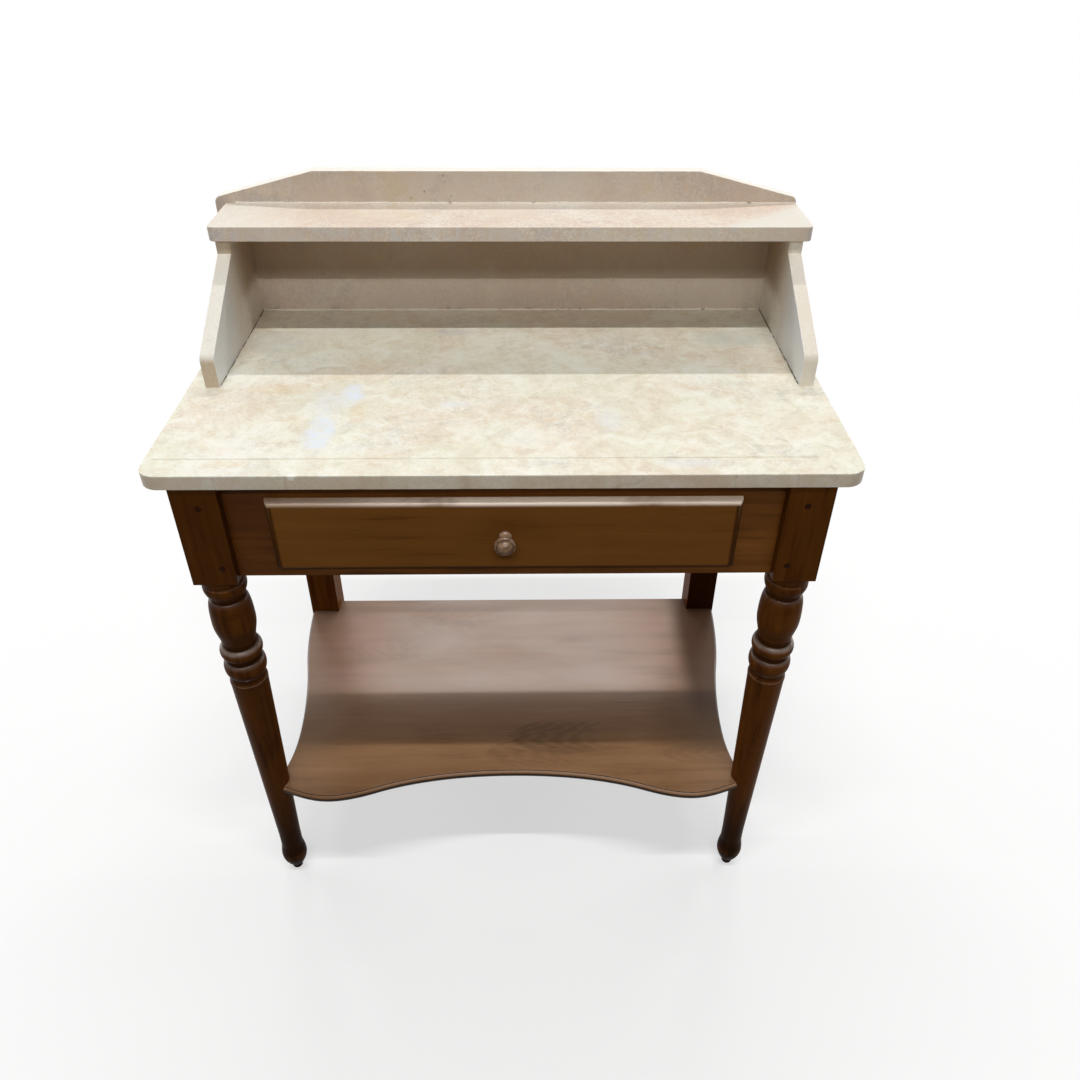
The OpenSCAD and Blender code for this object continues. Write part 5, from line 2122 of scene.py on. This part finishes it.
@dataclass(frozen=True)
class Softbox:
    """A large dim lamp behind the washstand, which lights its ends and its back."""

    name: str
    spot: Spot
    power: float
    size: float = 2.4
    target: Spot = (0.0, 0.0, 0.6)

    def hang(self) -> None:
        """Hangs the lamp so that it looks at the middle of the washstand."""
        data = bpy.data.lights.new(self.name, "AREA")
        data.shape, data.size, data.energy = "SQUARE", self.size, self.power
        way = Vector(self.target) - Vector(self.spot)
        turn = way.to_track_quat("-Z", "Y").to_matrix().to_4x4()
        linked(self.name, data).matrix_world = Matrix.Translation(self.spot) @ turn


@dataclass
class Studio:
    """The camera, the lamps, the pale floor and the world."""

    spot: Spot = (0.02514, -1.12192, 1.36831)
    pitch: float = 36.84
    yaw: float = 1.10
    roll: float = 0.36
    lens: float = 30.41
    lamps: tuple[Lamp | Softbox, ...] = (
        Lamp("lamp_behind", 2.56, 106.0),
        Lamp("lamp_over", -1.8, 285.0, 5.0, 0.14, 8.0),
        Lamp("lamp_front", -3.85, 112.0),
        Softbox("softbox_left", (-3.4, 2.0, 1.3), 60.0),
        Softbox("softbox_right", (3.4, 2.0, 1.3), 60.0),
    )
    ambient: float = 0.03
    floor_radii: Spot = (14.0, 3.0, 0.4)
    floor_sides: int = 64
    floor_fade: Point = (0.5, 1.7)

    def camera(self) -> None:
        """Sets the camera at the photograph's viewpoint."""
        data = bpy.data.cameras.new("camera")
        data.lens, data.sensor_width, data.clip_start = self.lens, 36.0, 0.05
        pitch, yaw, roll = (math.radians(a) for a in (self.pitch, self.yaw, self.roll))
        level = math.cos(pitch)
        ahead = Vector((math.sin(yaw) * level, math.cos(yaw) * level, -math.sin(pitch)))
        right = Vector((math.cos(yaw), -math.sin(yaw), 0))
        up = right.cross(ahead)
        across = right * math.cos(roll) + up * math.sin(roll)
        above = up * math.cos(roll) - right * math.sin(roll)
        turn = Matrix((across, above, -ahead)).transposed().to_4x4()
        made = linked("camera", data)
        made.matrix_world = Matrix.Translation(self.spot) @ turn
        bpy.context.scene.camera = made

    @staticmethod
    def seen(graph: Graph) -> Tap:
        """1 for what the camera, a reflection or glass sees.

        Args:
            graph: The tree of the world or of the floor's material.

        Returns:
            The value, 0 or 1.
        """
        ray = graph.node("ShaderNodeLightPath", {}, {}, "Is Camera Ray")
        glossy, clear = (
            Tap(graph, ray.socket.node.outputs[n]) for n in ("Is Glossy Ray", "Is Transmission Ray")
        )
        return ray.at_least(glossy).at_least(clear)

    @staticmethod
    def glow(graph: Graph, kind: str, colour: Spot, strength: float) -> Tap:
        """A light source's shader of that type."""
        return graph.node(kind, {}, {"Color": (*colour, 1.0), "Strength": strength})

    @staticmethod
    def blend(graph: Graph, share: Tap, first: Tap, second: Tap) -> Tap:
        """Mixes two shaders."""
        return graph.node("ShaderNodeMixShader", {}, {0: share, 1: first, 2: second})

    def world(self) -> None:
        """White to the camera, a dim even light to the surfaces."""
        made = bpy.data.worlds.new("studio")
        graph = Graph.emptied(made)
        dim = self.glow(graph, "ShaderNodeBackground", (1.0, 0.99, 0.97), self.ambient)
        white = self.glow(graph, "ShaderNodeBackground", PLAIN, 1.0)
        both = self.blend(graph, self.seen(graph), dim, white)
        graph.close("ShaderNodeOutputWorld", both)
        bpy.context.scene.world = made

    def floor(self) -> None:
        """A pale floor that keeps the object's shadow and fades to white."""
        mesh = Mesh()
        turns = [2 * math.pi * k / self.floor_sides for k in range(self.floor_sides)]
        rings = [
            [Vector((r * math.cos(a), r * math.sin(a), 0)) for a in turns]
            for r in self.floor_radii
        ]
        mesh.loft(rings, base=False)
        made = mesh.finish("pale_floor")
        material = bpy.data.materials.new("pale_floor")
        graph = Graph.emptied(material)
        x, y, _ = graph.parts(graph.node("ShaderNodeTexCoord", {}, {}, "Object"))
        far = distance(x, y).between(*self.floor_fade)
        plain, pale = (
            graph.node("ShaderNodeBsdfDiffuse", {}, {"Color": (grey, grey, grey, 1.0)})
            for grey in (0.2, 0.9)
        )
        white = self.glow(graph, "ShaderNodeEmission", PLAIN, 1.0)
        shown = self.blend(graph, 0.5 + far * 0.5, pale, white)
        both = self.blend(graph, self.seen(graph), plain, shown)
        graph.close("ShaderNodeOutputMaterial", both)
        made.data.materials.append(material)

    def build(self) -> None:
        """Builds the studio."""
        self.camera()
        self.world()
        self.floor()
        for lamp in self.lamps:
            lamp.hang()
        bpy.context.scene.view_settings.view_transform = "Standard"


def main() -> None:
    """Builds the studio and the washstand."""
    logging.basicConfig(level=logging.INFO, format="%(name)s %(message)s")
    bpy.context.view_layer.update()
    Studio().build()
    MarbleTop().build()
    for side, word in ((-1, "left"), (1, "right")):
        TurnedLeg(f"leg_front_{word}", side).build()
    for board in BOARDS:
        board.build()
    LowerShelf().build()
    Knob().build()
    Fixings().build()


if __name__ == "__main__":
    main()
